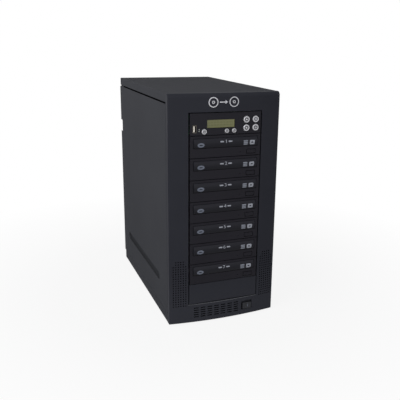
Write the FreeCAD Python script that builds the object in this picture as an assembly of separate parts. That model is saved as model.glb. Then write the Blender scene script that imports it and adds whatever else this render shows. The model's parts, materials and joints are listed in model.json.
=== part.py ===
import FreeCAD, Part
import math
import os

os.makedirs("parts", exist_ok=True)
vec = FreeCAD.Vector

# Tower disc duplicator. Millimetres, +Z up, the front faces -Y.
# The origin is the middle of the box around the part, on the floor.

# Case
case_width = 225.0
case_height = 457.2          # without the feet
case_depth = 398.5           # front corners of the bezel to the rear edge of the side panels
sheet = 1.0                  # folded steel
nest_gap = 0.2               # between sheets that nest
top_skirt = 16.0
base_skirt = 19.0
seam_gap = 2.6               # dark line under the skirts of the top cover
seam_lap = 6.0               # inner strip of the top cover, past that line
base_seam = 0.4
rear_recess = 16.0           # side panels stand this far behind the rear panel
cover_overhang = 10.0        # top cover behind the rear panel
base_overhang = 8.0          # base pan behind the rear panel
rear_lip = 10.0              # folded edge of the base pan behind the rear panel
fold = 15.0                  # folded edges of the front plate and the rear panel
cover_round = 1.5

# Feet
foot_height = 3.0
foot_radius = 9.0
foot_inset = 24.0
foot_stud_radius = 2.0
foot_stud_clear = 0.2

# Front bezel
bezel_bow = 8.5             # how far the front stands out at mid width
bezel_side = 12.0            # depth of its side walls
bezel_wall = 3.0
bezel_top_round = 8.0
bezel_bottom_round = 2.0
chin_height = 40.3           # under the bays
collar_wall = 2.2            # wall round the bay opening
opening_side_gap = 2.6
blank_side_gap = 1.7         # beside the blank cover
opening_end_gap = 0.8

# Round holes beside the lower bays
dot_radius = 1.3
dot_pitch_x = 4.97
dot_pitch_z = 4.96
dot_edge = 2.0               # plain wall left outside the field
dot_margin_left = 5.5        # bay opening to the first column
dot_margin_right = 7.4
dot_drop = 1.9               # bays down to the lowest row
dot_field_height = 99.4
dot_arch = 16.0              # the field is this much lower at its edges

# Slots in the chin
slot_width = 10.0
slot_height = 1.9
slot_pitch_x = 14.3
slot_pitch_z = 4.82
slot_columns = 7
slot_rows = 5
slot_left = -63.0
slot_drop = 9.4              # bays down to the first row

# Power button
power_x = 52.0
power_drop = 19.2            # bays down to its middle
power_recess_width = 25.0
power_recess_height = 20.0
power_recess_depth = 6.0
power_recess_round = 3.0
power_wall = 2.0
power_width = 19.5
power_height = 13.5
power_round = 2.5
power_shift_x = 1.5          # the button sits low and to the right in its recess
power_shift_z = -2.4
power_stem_width = 9.0
power_stem_height = 6.0
power_travel = 1.5
power_switch_size = 12.0
power_switch_depth = 6.0
button_clear = 0.3           # round every button and door

# Bays and drives
bay_pitch = 42.4
bay_count = 9
bay_gap = 0.6                # between two fronts
front_width = 142.8
front_thick = 5.0
front_proud = 6.0            # fronts stand this far before the bezel corners
front_edge = 0.6
drive_count = 7
drive_width = 142.0
drive_height = 40.8
drive_depth = 160.0
drive_wall = 0.8
shelf = 0.8                  # tab under each drive
shelf_width = 8.0
shelf_length = 120.0

# Tray
door_width = 129.4
door_height = 17.7
door_drop = 5.8              # bay top down to the door
door_thick = 4.0
door_proud = 0.3
tray_width = 127.0
tray_length = 158.0
tray_thick = 7.5
tray_drop = 8.2              # door top down to the tray
well_radius = 60.75
well_depth = 4.2
well_margin = 6.25           # door to the edge of the well
small_well_radius = 40.5
small_well_depth = 1.2
tray_slot_radius = 18.0
tray_slot_length = 62.0
runner_gap = 0.3
runner_thick = 2.0
runner_overlap = 3.5
guide_gap = 0.5
guide_thick = 1.5
guide_height = 3.0

# Eject button
eject_x = 52.2
eject_drop = 34.2
eject_width = 17.3
eject_height = 7.3
eject_proud = 0.6
eject_flange = 1.0
eject_flange_thick = 1.0
pinhole_radius = 0.7
pinhole_x = 30.0

# Deck, spindle and sled
deck_width = 110.0
deck_front = 35.0            # spindle forward to the deck's edge
deck_back = 79.0
deck_thick = 2.5
deck_leg = 6.0
deck_leg_radius = 3.0
deck_leg_inset = 6.0
deck_rest = 0.1
motor_radius = 12.0
motor_height = 4.9
spindle_gap = 0.3
shaft_radius = 1.5
shaft_clear = 0.05
turntable_radius = 14.0
turntable_thick = 2.0
nose_radius = 7.4
nose_height = 2.5
sled_window_width = 50.0
sled_window_front = 15.0
sled_window_length = 59.0
sled_rod_radius = 1.0
sled_rod_x = 18.0
sled_width = 44.0
sled_length = 20.0
sled_height = 6.5
sled_start = 1.0
lens_radius = 2.5
lens_height = 0.8

# Cage
cage_gap = 0.2
cage_length = 162.0
screw_radius = 1.45
screw_head_radius = 3.0
screw_head = 2.0
screw_length = 6.0
screw_hole_radius = 1.7
tapped_radius = 1.5
screw_rise = 10.0
screw_y = (47.4, 126.6)      # behind the fronts

# Controller
lcd_x = -10.5
lcd_rise = 21.3
lcd_width = 55.5
lcd_height = 15.5
lcd_sink = 1.0
lcd_clear = 0.2
lcd_block_width = 58.0
lcd_block_height = 15.8
lcd_block_depth = 8.0
lcd_card_width = 62.0
lcd_card_height = 22.0
card_thick = 1.6
usb_x = -62.8
usb_rise = 12.8
usb_width = 7.6
usb_height = 14.8
usb_flange = 1.0
usb_shell_width = 5.7
usb_shell_height = 13.1
usb_shell_wall = 0.4
usb_tongue = 1.8
usb_proud = 0.4
usb_depth = 12.0
led_x = -54.0
led_rise = (8.6, 11.9)
led_radius = 1.1
led_proud = 0.5
board_setback = 19.0         # fronts back to the switch board
board_width = 132.0
board_margin = 3.0
main_board_length = 130.0
main_board_rise = 6.0
bracket_height = 38.0
tact_size = 6.0
tact_height = 3.5
button_proud = 1.8
button_flange = 0.7
button_flange_thick = 1.0
button_edge = 0.8
button_stem_radius = 1.5
button_travel = 1.0
button_rest = 0.3            # stem to switch, beyond the travel
large_button = 6.8
small_button = 4.8
stop_button = 5.5
# Round buttons: name, place across, height in the bay, radius
panel_buttons = (
    ("up_button", 41.0, 27.4, large_button),
    ("enter_button", 60.0, 27.4, large_button),
    ("down_button", 41.0, 11.6, large_button),
    ("escape_button", 60.0, 11.6, large_button),
    ("stop_button", -44.0, 7.5, stop_button),
    ("copy_button", 1.2, 7.5, small_button),
    ("verify_button", 16.1, 7.5, small_button),
)

# Side panels
groove_start = 71.0          # bezel corners back to the groove
groove_length = 275.0
groove_rise = 75.5
groove_height = 15.5
groove_depth = 5.0
notch_rise = 330.0
notch_height = 28.0
notch_depth = 14.0
tab_width = 14.0
tab_height = 16.0
tab_rise = 60.0              # lower tab above the base
tab_drop = 55.0              # upper tab below the top
thumb_hole_radius = 2.1
thumb_radius = 6.0
thumb_head = 7.0
thumb_shank_radius = 1.75
thumb_shank = 8.0
thumb_ribs = 20
thumb_rib_depth = 0.5

# Power supply
psu_width = 150.0
psu_height = 86.0
psu_depth = 140.0
psu_rail = 10.0
psu_rail_width = 8.0
psu_rail_x = 60.0
psu_window_margin = 3.0
psu_fan_size = 80.0
psu_fan_x = -28.0
inlet_x = 42.0
inlet_width = 32.0
inlet_height = 54.0
inlet_flange = 2.0
inlet_edge = 2.0
inlet_cavity_width = 24.4
inlet_cavity_height = 16.6
inlet_cavity_depth = 16.0
inlet_body_wall = 1.6
inlet_rise = -10.0           # middle of the module to the middle of the inlet
blade_width = 2.0
blade_height = 4.0
blade_length = 14.0
blade_spacing = 7.0
blade_offset = 2.0
rocker_rise = 13.5
rocker_width = 18.4
rocker_radius = 6.0
rocker_gap = 0.5
rocker_sink = 3.0            # pivot in front of the module's face
rocker_pin_radius = 1.0
rocker_pin_length = 1.4
rocker_pin_clear = 0.05
rocker_flat = 4.4
rocker_face_angle = 12.0
rocker_tilt = 10.0

# Fans
fan_size = 120.0
fan_depth = 25.0
fan_gap = 18.0               # power supply up to the rear fan
fan_wall = 3.0
fan_hub_radius = 19.0
fan_motor_thick = 4.0
fan_strut = 4.0
fan_tip_gap = 1.5
fan_blades = 7
fan_blade_thick = 1.6
fan_blade_angle = 35.0
fan_hub_gap = 0.5
fan_shaft_radius = 1.5
fan_screw_inset = 7.5
guard_wire = 1.2
guard_rings = 4

# Rear vents
vent_length = 30.0
vent_height = 4.0
vent_pitch = 12.0
vent_rows = 10
vent_columns = 4
vent_column_pitch = 42.0
vent_gap = 40.0              # above the rear fan

# Cables
ribbon_width = 7.0
ribbon_thick = 1.2
ribbon_pitch = 9.0
ribbon_left = -36.0
ribbon_reach = 22.0
ribbon_bend = 8.0
plug_width = 8.0
plug_height = 6.0
plug_depth = 9.0
plug_rise = 12.0
trunk_x = 46.0
trunk_radius = 5.0
trunk_bend = 12.0
trunk_reach = 12.0
branch_radius = 2.2
power_plug_width = 18.0

# Places worked out from the sizes above
half = case_width / 2
z_bottom = foot_height
z_top = z_bottom + case_height
y_crest = -(case_depth + bezel_bow) / 2
y_corner = y_crest + bezel_bow
y_rear = y_corner + case_depth
y_bezel_back = y_corner + bezel_side
y_plate_back = y_bezel_back + sheet
y_rear_face = y_rear - rear_recess
y_panel_out = y_rear_face - sheet
y_panel_in = y_panel_out - sheet
bow_radius = (half ** 2 + bezel_bow ** 2) / (2 * bezel_bow)
z_bays = z_bottom + chin_height
z_bays_top = z_bays + bay_count * bay_pitch
y_front = y_corner - front_proud
y_front_back = y_front + front_thick
opening_half = front_width / 2 + opening_side_gap
side_inner = half - sheet
dot_room = half - bezel_wall - dot_edge - opening_half - max(dot_margin_left, dot_margin_right)
dot_columns = int(dot_room / dot_pitch_x) + 1
fold_outer = side_inner - nest_gap
y_drive_back = y_front_back + drive_depth
cage_half = drive_width / 2 + cage_gap
y_disc = y_front + door_thick + well_margin + well_radius
y_board = y_front + board_setback
z_psu = z_bottom + sheet + psu_rail
z_psu_top = z_psu + psu_height
z_psu_mid = z_psu + psu_height / 2
z_fan = z_psu_top + fan_gap + fan_size / 2
power_z = z_bays - power_drop
power_button_x = power_x + power_shift_x
power_button_z = power_z + power_shift_z
controller_bay = bay_count - 1
z_controller = z_bays + controller_bay * bay_pitch


def box(x0, x1, y0, y1, z0, z1):
    return Part.makeBox(x1 - x0, y1 - y0, z1 - z0, vec(x0, y0, z0))


def rod(radius, start, direction, length):
    return Part.makeCylinder(radius, length, vec(*start), vec(*direction))


def rod_y(radius, x, z, y0, y1):
    return rod(radius, (x, y0, z), (0, 1, 0), y1 - y0)


def rod_z(radius, x, y, z0, z1):
    return rod(radius, (x, y, z0), (0, 0, 1), z1 - z0)


def fuse(shapes):
    return shapes[0].multiFuse(shapes[1:]).removeSplitter()


def block_y(x, z, width, height, y0, y1):
    return box(x - width / 2, x + width / 2, y0, y1, z - height / 2, z + height / 2)


def round_block_y(x, z, width, height, y0, y1, radius):
    block = block_y(x, z, width, height, y0, y1)
    along = [e for e in block.Edges if abs(e.BoundBox.YLength - (y1 - y0)) < 1e-6]
    return block.makeFillet(radius, along)


def front_edges(shape, y):
    return [e for e in shape.Edges if abs(e.BoundBox.YMin - y) < 1e-6 and abs(e.BoundBox.YMax - y) < 1e-6]


def mirror_x(shape):
    return shape.mirror(vec(0, 0, 0), vec(1, 0, 0))


def save(name, shapes):
    Part.makeCompound(shapes).exportStep("parts/" + name + ".step")


def bay_bottom(bay):
    return z_bays + bay * bay_pitch


def drive_bay(number):
    return controller_bay - number


def bow_y(x):
    return y_crest + bow_radius - math.sqrt(bow_radius ** 2 - x ** 2)


# Case sheets
def foot_places():
    y_low = y_plate_back + foot_inset
    y_high = y_rear_face - foot_inset
    x = half - foot_inset
    return [(-x, y_low), (x, y_low), (-x, y_high), (x, y_high)]


def rubber_feet():
    feet = []
    for x, y in foot_places():
        pad = Part.makeCone(foot_radius - foot_height / 3, foot_radius, foot_height, vec(x, y, 0))
        stud = rod_z(foot_stud_radius, x, y, foot_height, foot_height + 2 * sheet)
        feet.append(pad.fuse(stud).removeSplitter())
    return feet


def base_pan():
    z_floor = z_bottom + sheet
    y_end = y_rear_face + base_overhang
    pan = box(-half, half, y_plate_back, y_end, z_bottom, z_bottom + base_skirt)
    hollow = box(-side_inner, side_inner, y_plate_back + sheet, y_panel_out, z_floor, z_top)
    above_lip = box(-side_inner, side_inner, y_panel_out, y_end, z_bottom + rear_lip, z_top)
    behind_lip = box(-side_inner, side_inner, y_rear_face, y_end, z_floor, z_top)
    pan = pan.cut(hollow).cut(above_lip).cut(behind_lip)
    y_rail = y_panel_in - psu_depth
    for x in (-psu_rail_x, psu_rail_x):
        rail = box(x - psu_rail_width / 2, x + psu_rail_width / 2, y_rail, y_panel_in, z_floor, z_psu)
        pan = pan.fuse(rail)
    for x, y in foot_places():
        pan = pan.cut(rod_z(foot_stud_radius + foot_stud_clear, x, y, z_bottom - 1, z_floor + 1))
    return pan.removeSplitter()


def top_cover():
    y_end = y_rear_face + cover_overhang
    cover = box(-half, half, y_bezel_back, y_end, z_top - top_skirt, z_top)
    high = [e for e in cover.Edges if e.BoundBox.ZMin > z_top - sheet]
    along = [e for e in high if e.BoundBox.YLength > case_depth / 2]
    cover = cover.makeFillet(cover_round, along)
    hollow = box(-side_inner, side_inner, y_bezel_back - 1, y_end - sheet, z_bottom, z_top - sheet)
    under_lip = box(-side_inner, side_inner, y_bezel_back, y_end + 1, z_bottom, z_top - rear_lip)
    cover = cover.cut(hollow).cut(under_lip)
    z_hem = z_top - top_skirt - seam_gap - seam_lap
    hem_runs = ((y_plate_back + fold, y_panel_out - fold), (y_panel_out + nest_gap, y_end))
    for x0 in (-fold_outer, fold_outer - sheet):
        for y0, y1 in hem_runs:
            cover = cover.fuse(box(x0, x0 + sheet, y0, y1, z_hem, z_top - sheet))
    return cover.removeSplitter()


def groove_solid(radius, x0, x1):
    y0 = y_corner + groove_start + groove_height / 2
    y1 = y_corner + groove_start + groove_length - groove_height / 2
    z = z_bottom + groove_rise
    ends = [rod(radius, (x0, y, z), (1, 0, 0), x1 - x0) for y in (y0, y1)]
    return fuse([box(x0, x1, y0, y1, z - radius, z + radius)] + ends)


def thumb_places():
    x = side_inner - tab_width / 2
    return [(x, z_bottom + tab_rise), (x, z_top - tab_drop)]


def left_side_panel():
    z0 = z_bottom + base_skirt + base_seam
    z1 = z_top - top_skirt - seam_gap
    panel = box(-half, -side_inner, y_plate_back, y_rear, z0, z1)
    radius = groove_height / 2
    panel = panel.fuse(groove_solid(radius + sheet, -side_inner, -side_inner + groove_depth))
    panel = panel.cut(groove_solid(radius, -half, -side_inner + groove_depth - sheet))
    z_notch = z_bottom + notch_rise
    panel = panel.cut(box(-half, -side_inner, y_rear - notch_depth, y_rear + 1, z_notch, z_notch + notch_height))
    for x, z in thumb_places():
        tab = block_y(-x, z, tab_width, tab_height, y_panel_out, y_rear_face)
        panel = panel.fuse(tab).cut(rod_y(thumb_hole_radius, -x, z, y_panel_in, y_rear))
    return panel.removeSplitter()


def side_thumbscrews():
    profile = []
    for step in range(2 * thumb_ribs):
        radius = thumb_radius - thumb_rib_depth * (step % 2)
        angle = math.pi * step / thumb_ribs
        profile.append(vec(radius * math.cos(angle), 0, radius * math.sin(angle)))
    face = Part.Face(Part.makePolygon(profile + profile[:1]))
    head = face.extrude(vec(0, thumb_head, 0))
    shank = rod_y(thumb_shank_radius, 0, 0, -thumb_shank, 0)
    screw = head.fuse(shank).removeSplitter()
    screws = []
    for x, z in thumb_places():
        for side in (-1, 1):
            screws.append(screw.translated(vec(side * x, y_rear_face, z)))
    return screws


def guard_screw_places(size):
    offset = size / 2 - fan_screw_inset
    return [(-offset, -offset), (offset, -offset), (-offset, offset), (offset, offset)]


def rear_panel():
    panel = box(-fold_outer, fold_outer, y_panel_out - fold, y_panel_out, z_bottom + sheet, z_top - sheet)
    x_in = fold_outer - sheet
    panel = panel.cut(box(-x_in, x_in, y_panel_out - fold - 1, y_panel_in, z_bottom, z_top))
    m = psu_window_margin
    window = box(-psu_width / 2 + m, psu_width / 2 - m, y_panel_in, y_rear, z_psu + m, z_psu_top - m)
    panel = panel.cut(window)
    panel = panel.cut(rod_y(fan_size / 2 - fan_wall, 0, z_fan, y_panel_in, y_rear))
    holes = []
    for dx, dz in guard_screw_places(fan_size):
        holes.append(rod_y(screw_hole_radius, dx, z_fan + dz, y_panel_in, y_rear))
    for x, z in thumb_places():
        holes.append(rod_y(thumb_hole_radius, x, z, y_panel_in, y_rear))
        holes.append(rod_y(thumb_hole_radius, -x, z, y_panel_in, y_rear))
    z_vent = z_fan + fan_size / 2 + vent_gap
    for row in range(vent_rows):
        for column in range(vent_columns):
            x = (column - (vent_columns - 1) / 2) * vent_column_pitch
            z = z_vent + row * vent_pitch
            holes.append(block_y(x, z, vent_length, vent_height, y_panel_in, y_rear))
    return panel.cut(Part.makeCompound(holes)).removeSplitter()


# Front bezel
def bowed_block(half_width, y_back, crest, radius, z0, z1):
    y_side = crest + radius - math.sqrt(radius ** 2 - half_width ** 2)
    left_back = vec(-half_width, y_back, z0)
    left = vec(-half_width, y_side, z0)
    middle = vec(0, crest, z0)
    right = vec(half_width, y_side, z0)
    right_back = vec(half_width, y_back, z0)
    edges = [Part.makeLine(left_back, left), Part.Arc(left, middle, right).toShape()]
    edges += [Part.makeLine(right, right_back), Part.makeLine(right_back, left_back)]
    return Part.Face(Part.Wire(edges)).extrude(vec(0, 0, z1 - z0))


def bow_edge(shape, z):
    return [e for e in shape.Edges if e.BoundBox.YMin < y_corner - 1 and abs(e.BoundBox.ZMin - z) < 1e-6
            and e.BoundBox.ZLength < 1e-6]


def dot_places():
    middle = (dot_columns - 1) / 2
    places = []
    for column in range(dot_columns):
        x = opening_half + column * dot_pitch_x
        share = 2 * (column - middle) / dot_columns
        top = dot_field_height - dot_arch * share ** 2
        for row in range(int(top / dot_pitch_z) + 1):
            z = z_bays - dot_drop + row * dot_pitch_z
            places.append((x + dot_margin_right, z))
            places.append((-x - dot_margin_left, z))
    return places


def power_guide(y0, y1, grow):
    width = power_stem_width + 2 * grow
    height = power_stem_height + 2 * grow
    return block_y(power_button_x, power_button_z, width, height, y0, y1)


def power_recess(grow, y0, y1):
    width = power_recess_width + 2 * grow
    height = power_recess_height + 2 * grow
    return round_block_y(power_x, power_z, width, height, y0, y1, power_recess_round + grow)


def front_bezel():
    outer = bowed_block(half, y_bezel_back, y_crest, bow_radius, z_bottom, z_top)
    outer = outer.makeFillet(bezel_top_round, bow_edge(outer, z_top))
    outer = outer.makeFillet(bezel_bottom_round, bow_edge(outer, z_bottom))
    wall = bezel_wall
    hollow = bowed_block(half - wall, y_bezel_back + 1, y_crest + wall, bow_radius - wall,
                         z_bottom + wall, z_top - wall)
    z0 = z_bays - opening_end_gap
    z1 = z_bays_top + opening_end_gap
    grow = collar_wall
    collar = box(-opening_half - grow, opening_half + grow, y_crest - 1, y_bezel_back, z0 - grow, z1 + grow)
    opening = box(-opening_half, opening_half, y_crest - 1, y_bezel_back + 1, z0, z1)
    y_floor = bow_y(power_x) + power_recess_depth
    cup = power_recess(power_wall, y_crest - 1, y_floor + power_wall)
    bezel = outer.cut(hollow).fuse([outer.common(collar), outer.common(cup)])
    cuts = [opening, power_recess(0, y_crest - 1, y_floor)]
    cuts.append(power_guide(y_floor - 1, y_floor + power_wall + 1, button_clear))
    for x, z in dot_places():
        cuts.append(rod_y(dot_radius, x, z, y_crest - 1, bow_y(x) + 2 * wall))
    for row in range(slot_rows):
        for column in range(slot_columns):
            x = slot_left + slot_width / 2 + column * slot_pitch_x
            z = z_bays - slot_drop - row * slot_pitch_z
            cuts.append(block_y(x, z, slot_width, slot_height, y_crest - 1, bow_y(x) + 2 * wall))
    return bezel.cut(cuts).removeSplitter()


def power_button():
    x = power_button_x
    y_face = bow_y(power_x)
    y_cap = y_face + power_recess_depth - power_travel - button_clear
    cap = round_block_y(x, power_button_z, power_width, power_height, y_face, y_cap, power_round)
    cap = cap.makeFillet(button_edge, front_edges(cap, y_face))
    y_end = y_bezel_back - power_switch_depth - power_travel - button_rest
    return cap.fuse(power_guide(y_cap, y_end, 0)).removeSplitter()


def power_switch():
    size = power_switch_size
    y0 = y_bezel_back - power_switch_depth
    return block_y(power_button_x, power_button_z, size, size, y0, y_bezel_back)


# Bay fronts
def front_plate(bay, reach):
    z0 = bay_bottom(bay) + bay_gap / 2
    z1 = bay_bottom(bay) + bay_pitch - bay_gap / 2
    plate = box(-reach, reach, y_front, y_front_back, z0, z1)
    return plate.makeChamfer(front_edge, front_edges(plate, y_front))


def blank_bay_cover():
    plate = front_plate(0, opening_half - blank_side_gap)
    z = bay_bottom(0) + bay_pitch / 2
    x_leg = cage_half - cage_gap
    for side in (-1, 1):
        x0 = min(side * x_leg, side * (x_leg - 2 * sheet))
        leg = box(x0, x0 + 2 * sheet, y_front_back, y_plate_back + fold, z - fold, z + fold)
        plate = plate.fuse(leg)
    return plate.removeSplitter()


def door_span(bay):
    z1 = bay_bottom(bay) + bay_pitch - door_drop
    return z1 - door_height, z1


def eject_z(bay):
    return bay_bottom(bay) + bay_pitch - eject_drop


def drive_bezel(bay):
    z0, z1 = door_span(bay)
    gap = button_clear
    x = door_width / 2 + gap
    y0 = y_front - 1
    y1 = y_front_back + 1
    cuts = [box(-x, x, y0, y1, z0 - gap, z1 + gap)]
    cuts.append(block_y(eject_x, eject_z(bay), eject_width + 2 * gap, eject_height + 2 * gap, y0, y1))
    cuts.append(rod_y(pinhole_radius, pinhole_x, eject_z(bay), y0, y1))
    return front_plate(bay, front_width / 2).cut(cuts)


def eject_button(bay):
    z = eject_z(bay)
    y0 = y_front - eject_proud
    y1 = y_front_back + button_clear
    cap = block_y(eject_x, z, eject_width, eject_height, y0, y1)
    cap = cap.makeFillet(eject_proud, front_edges(cap, y0))
    width = eject_width + 2 * eject_flange
    height = eject_height + 2 * eject_flange
    return cap.fuse(block_y(eject_x, z, width, height, y1, y1 + eject_flange_thick)).removeSplitter()


def tray_levels(bay):
    top = door_span(bay)[1] - tray_drop
    return top - tray_thick, top


def drive_tray(bay):
    z0, z1 = door_span(bay)
    door = box(-door_width / 2, door_width / 2, y_front - door_proud, y_front + door_thick, z0, z1)
    door = door.makeFillet(front_edge, front_edges(door, y_front - door_proud))
    low, top = tray_levels(bay)
    y0 = y_front + door_thick
    tray = box(-tray_width / 2, tray_width / 2, y0, y0 + tray_length, low, top)
    cuts = [rod_z(well_radius, 0, y_disc, top - well_depth, top + 1)]
    cuts.append(rod_z(small_well_radius, 0, y_disc, top - well_depth - small_well_depth, top))
    cuts.append(rod_z(tray_slot_radius, 0, y_disc, low - 1, top))
    radius = tray_slot_radius
    cuts.append(box(-radius, radius, y_disc, y_disc + tray_slot_length, low - 1, top + 1))
    return door.fuse(tray.cut(cuts)).removeSplitter()


# Inside of the drives
def drive_case(bay):
    z0 = bay_bottom(bay) + shelf
    z1 = z0 + drive_height
    x = drive_width / 2
    wall = drive_wall
    case = box(-x, x, y_front_back, y_drive_back, z0, z1)
    y_inner = y_drive_back - wall
    case = case.cut(box(-x + wall, x - wall, y_front_back - 1, y_inner, z0 + wall, z1 - wall))
    low = tray_levels(bay)[0]
    z_run = low - runner_gap
    x_run = tray_width / 2 - runner_overlap
    x_guide = tray_width / 2 + guide_gap
    adds = []
    for side in (0, 1):
        runner = box(x_run, x - wall, y_front_back, y_inner, z_run - runner_thick, z_run)
        x_far = x_guide + guide_thick
        guide = box(x_guide, x_far, y_front_back, y_inner, z_run, low + guide_height)
        adds += [mirror_x(s) if side else s for s in (runner, guide)]
    case = case.fuse(adds)
    holes = []
    for y in screw_y:
        holes.append(rod(tapped_radius, (-x - 1, y_front + y, z0 + screw_rise), (1, 0, 0), drive_width + 2))
    return case.cut(holes).removeSplitter()


def deck_level(bay):
    return bay_bottom(bay) + shelf + drive_wall + deck_leg


def sled_rods(z, radius, grow):
    y0 = y_disc + sled_window_front - grow
    y1 = y0 + sled_window_length + 2 * grow
    return [rod_y(radius, x, z, y0, y1) for x in (-sled_rod_x, sled_rod_x)]


def drive_deck(bay):
    z0 = deck_level(bay)
    z1 = z0 + deck_thick
    x = deck_width / 2
    y0 = y_disc - deck_front
    y1 = y_disc + deck_back
    plate = box(-x, x, y0, y1, z0, z1)
    w = sled_window_width / 2
    y_window = y_disc + sled_window_front
    plate = plate.cut(box(-w, w, y_window, y_window + sled_window_length, z0 - 1, z1 + 1))
    adds = sled_rods((z0 + z1) / 2, sled_rod_radius, sheet)
    adds.append(rod_z(motor_radius, 0, y_disc, z1, z1 + motor_height))
    inset = deck_leg_inset
    for leg_x in (-x + inset, x - inset):
        for leg_y in (y0 + inset, y1 - inset):
            adds.append(rod_z(deck_leg_radius, leg_x, leg_y, z0 - deck_leg + deck_rest, z0))
    bore = rod_z(shaft_radius + shaft_clear, 0, y_disc, z0 - 1, z1 + motor_height + 1)
    return plate.fuse(adds).cut(bore).removeSplitter()


def disc_spindle(bay):
    z0 = deck_level(bay)
    z1 = z0 + deck_thick + motor_height + spindle_gap
    z2 = z1 + turntable_thick
    shaft = rod_z(shaft_radius, 0, y_disc, z0, z1)
    table = rod_z(turntable_radius, 0, y_disc, z1, z2)
    tip = nose_radius - nose_height / 2
    nose = Part.makeCone(nose_radius, tip, nose_height, vec(0, y_disc, z2))
    return fuse([shaft, table, nose])


def laser_sled(bay):
    z = deck_level(bay) + deck_thick / 2
    y0 = y_disc + sled_window_front + sled_start
    top = z + sled_height / 2
    block = block_y(0, z, sled_width, sled_height, y0, y0 + sled_length)
    lens = rod_z(lens_radius, 0, y0 + sled_length / 2, top, top + lens_height)
    return block.fuse(lens).cut(sled_rods(z, sled_rod_radius + shaft_clear, 0)).removeSplitter()


# Cage with the front plate of the chassis
def drive_cage():
    plate = box(-fold_outer, fold_outer, y_bezel_back, y_plate_back, z_bottom, z_top - sheet)
    plate = plate.cut(box(-cage_half, cage_half, y_bezel_back - 1, y_rear, z_bays, z_bays_top))
    x_dot = opening_half - dot_radius
    dot_span = dot_pitch_x * (dot_columns - 1) + 2 * dot_radius
    for x0 in (x_dot + dot_margin_right, -x_dot - dot_margin_left - dot_span):
        z_dots = z_bays - dot_drop - dot_radius
        plate = plate.cut(box(x0, x0 + dot_span, y_bezel_back, y_rear, z_dots, z_bays + dot_field_height))
    slot_span = slot_pitch_x * (slot_columns - 1) + slot_width
    z1 = z_bays - slot_drop + slot_height / 2
    z0 = z1 - slot_pitch_z * (slot_rows - 1) - slot_height
    plate = plate.cut(box(slot_left, slot_left + slot_span, y_bezel_back, y_rear, z0, z1))
    adds = []
    z_low = z_bottom + base_skirt + base_seam
    for side in (0, 1):
        edge = box(fold_outer - sheet, fold_outer, y_plate_back, y_plate_back + fold, z_low, z_top - sheet)
        wall = box(cage_half, cage_half + sheet, y_plate_back, y_plate_back + cage_length,
                   z_bottom + sheet, z_bays_top + sheet)
        inside = [edge, wall.cut(box(0, half, y_plate_back, y_plate_back + sheet, z_bottom, z_low))]
        for bay in range(1, bay_count):
            z = bay_bottom(bay)
            y0 = y_plate_back + fold
            inside.append(box(cage_half - shelf_width, cage_half, y0, y0 + shelf_length, z, z + shelf))
        adds += [mirror_x(s) if side else s for s in inside]
    for z in (z_bays - sheet, z_bays_top):
        adds.append(box(-cage_half, cage_half, y_plate_back, y_plate_back + cage_length, z, z + sheet))
    cage = plate.fuse(adds)
    holes = []
    for bay in range(1, bay_count):
        for y in screw_y:
            z = bay_bottom(bay) + shelf + screw_rise
            holes.append(rod(screw_hole_radius, (-half, y_front + y, z), (1, 0, 0), case_width))
    return cage.cut(holes).removeSplitter()


def screw(place, direction):
    axis = vec(*direction)
    start = vec(*place)
    head = Part.makeCone(screw_head_radius, screw_head_radius - screw_head / 2, screw_head, start, axis)
    shank = Part.makeCylinder(screw_radius, screw_length, start, axis * -1)
    return head.fuse(shank).removeSplitter()


def machine_screws():
    screws = []
    x = cage_half + sheet
    for bay in range(1, bay_count):
        for y in screw_y:
            z = bay_bottom(bay) + shelf + screw_rise
            screws.append(screw((-x, y_front + y, z), (-1, 0, 0)))
            screws.append(screw((x, y_front + y, z), (1, 0, 0)))
    y_guard = y_panel_out + guard_wire * 2
    for dx, dz in guard_screw_places(fan_size):
        screws.append(screw((dx, y_guard, z_fan + dz), (0, 1, 0)))
    for dx, dz in guard_screw_places(psu_fan_size):
        screws.append(screw((psu_fan_x + dx, y_panel_in + guard_wire * 2, z_psu_mid + dz), (0, 1, 0)))
    return screws


# Controller
def controller_faceplate():
    y0 = y_front - 1
    y1 = y_front_back + 1
    cuts = [block_y(lcd_x, z_controller + lcd_rise, lcd_width, lcd_height, y0, y1)]
    gap = lcd_clear
    cuts.append(block_y(usb_x, z_controller + usb_rise, usb_width + 2 * gap, usb_height + 2 * gap, y0, y1))
    for rise in led_rise:
        cuts.append(rod_y(led_radius + gap, led_x, z_controller + rise, y0, y1))
    for name, x, rise, radius in panel_buttons:
        cuts.append(rod_y(radius + button_clear, x, z_controller + rise, y0, y1))
    return front_plate(controller_bay, front_width / 2).cut(cuts)


def panel_button(x, rise, radius):
    z = z_controller + rise
    y0 = y_front - button_proud
    y1 = y_front_back + button_clear
    cap = rod_y(radius, x, z, y0, y1)
    cap = cap.makeFillet(button_edge, front_edges(cap, y0))
    flange = rod_y(radius + button_flange, x, z, y1, y1 + button_flange_thick)
    y_end = y_board - tact_height - button_travel - button_rest
    stem = rod_y(button_stem_radius, x, z, y1 + button_flange_thick, y_end)
    return fuse([cap, flange, stem])


def lcd_window():
    width = lcd_width - 2 * lcd_clear
    height = lcd_height - 2 * lcd_clear
    return block_y(lcd_x, z_controller + lcd_rise, width, height, y_front + lcd_sink, y_front_back)


def lcd_module():
    z = z_controller + lcd_rise
    y1 = y_front_back + lcd_block_depth
    block = block_y(lcd_x, z, lcd_block_width, lcd_block_height, y_front_back, y1)
    card = block_y(lcd_x, z, lcd_card_width, lcd_card_height, y1, y1 + card_thick)
    posts = []
    for side_x in (-1, 1):
        for side_z in (-1, 1):
            x = lcd_x + side_x * (lcd_card_width / 2 - tact_size / 2)
            z_post = z + side_z * (lcd_card_height / 2 - tact_size / 2)
            posts.append(rod_y(button_stem_radius, x, z_post, y1 + card_thick, y_board))
    return fuse([block, card] + posts)


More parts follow.
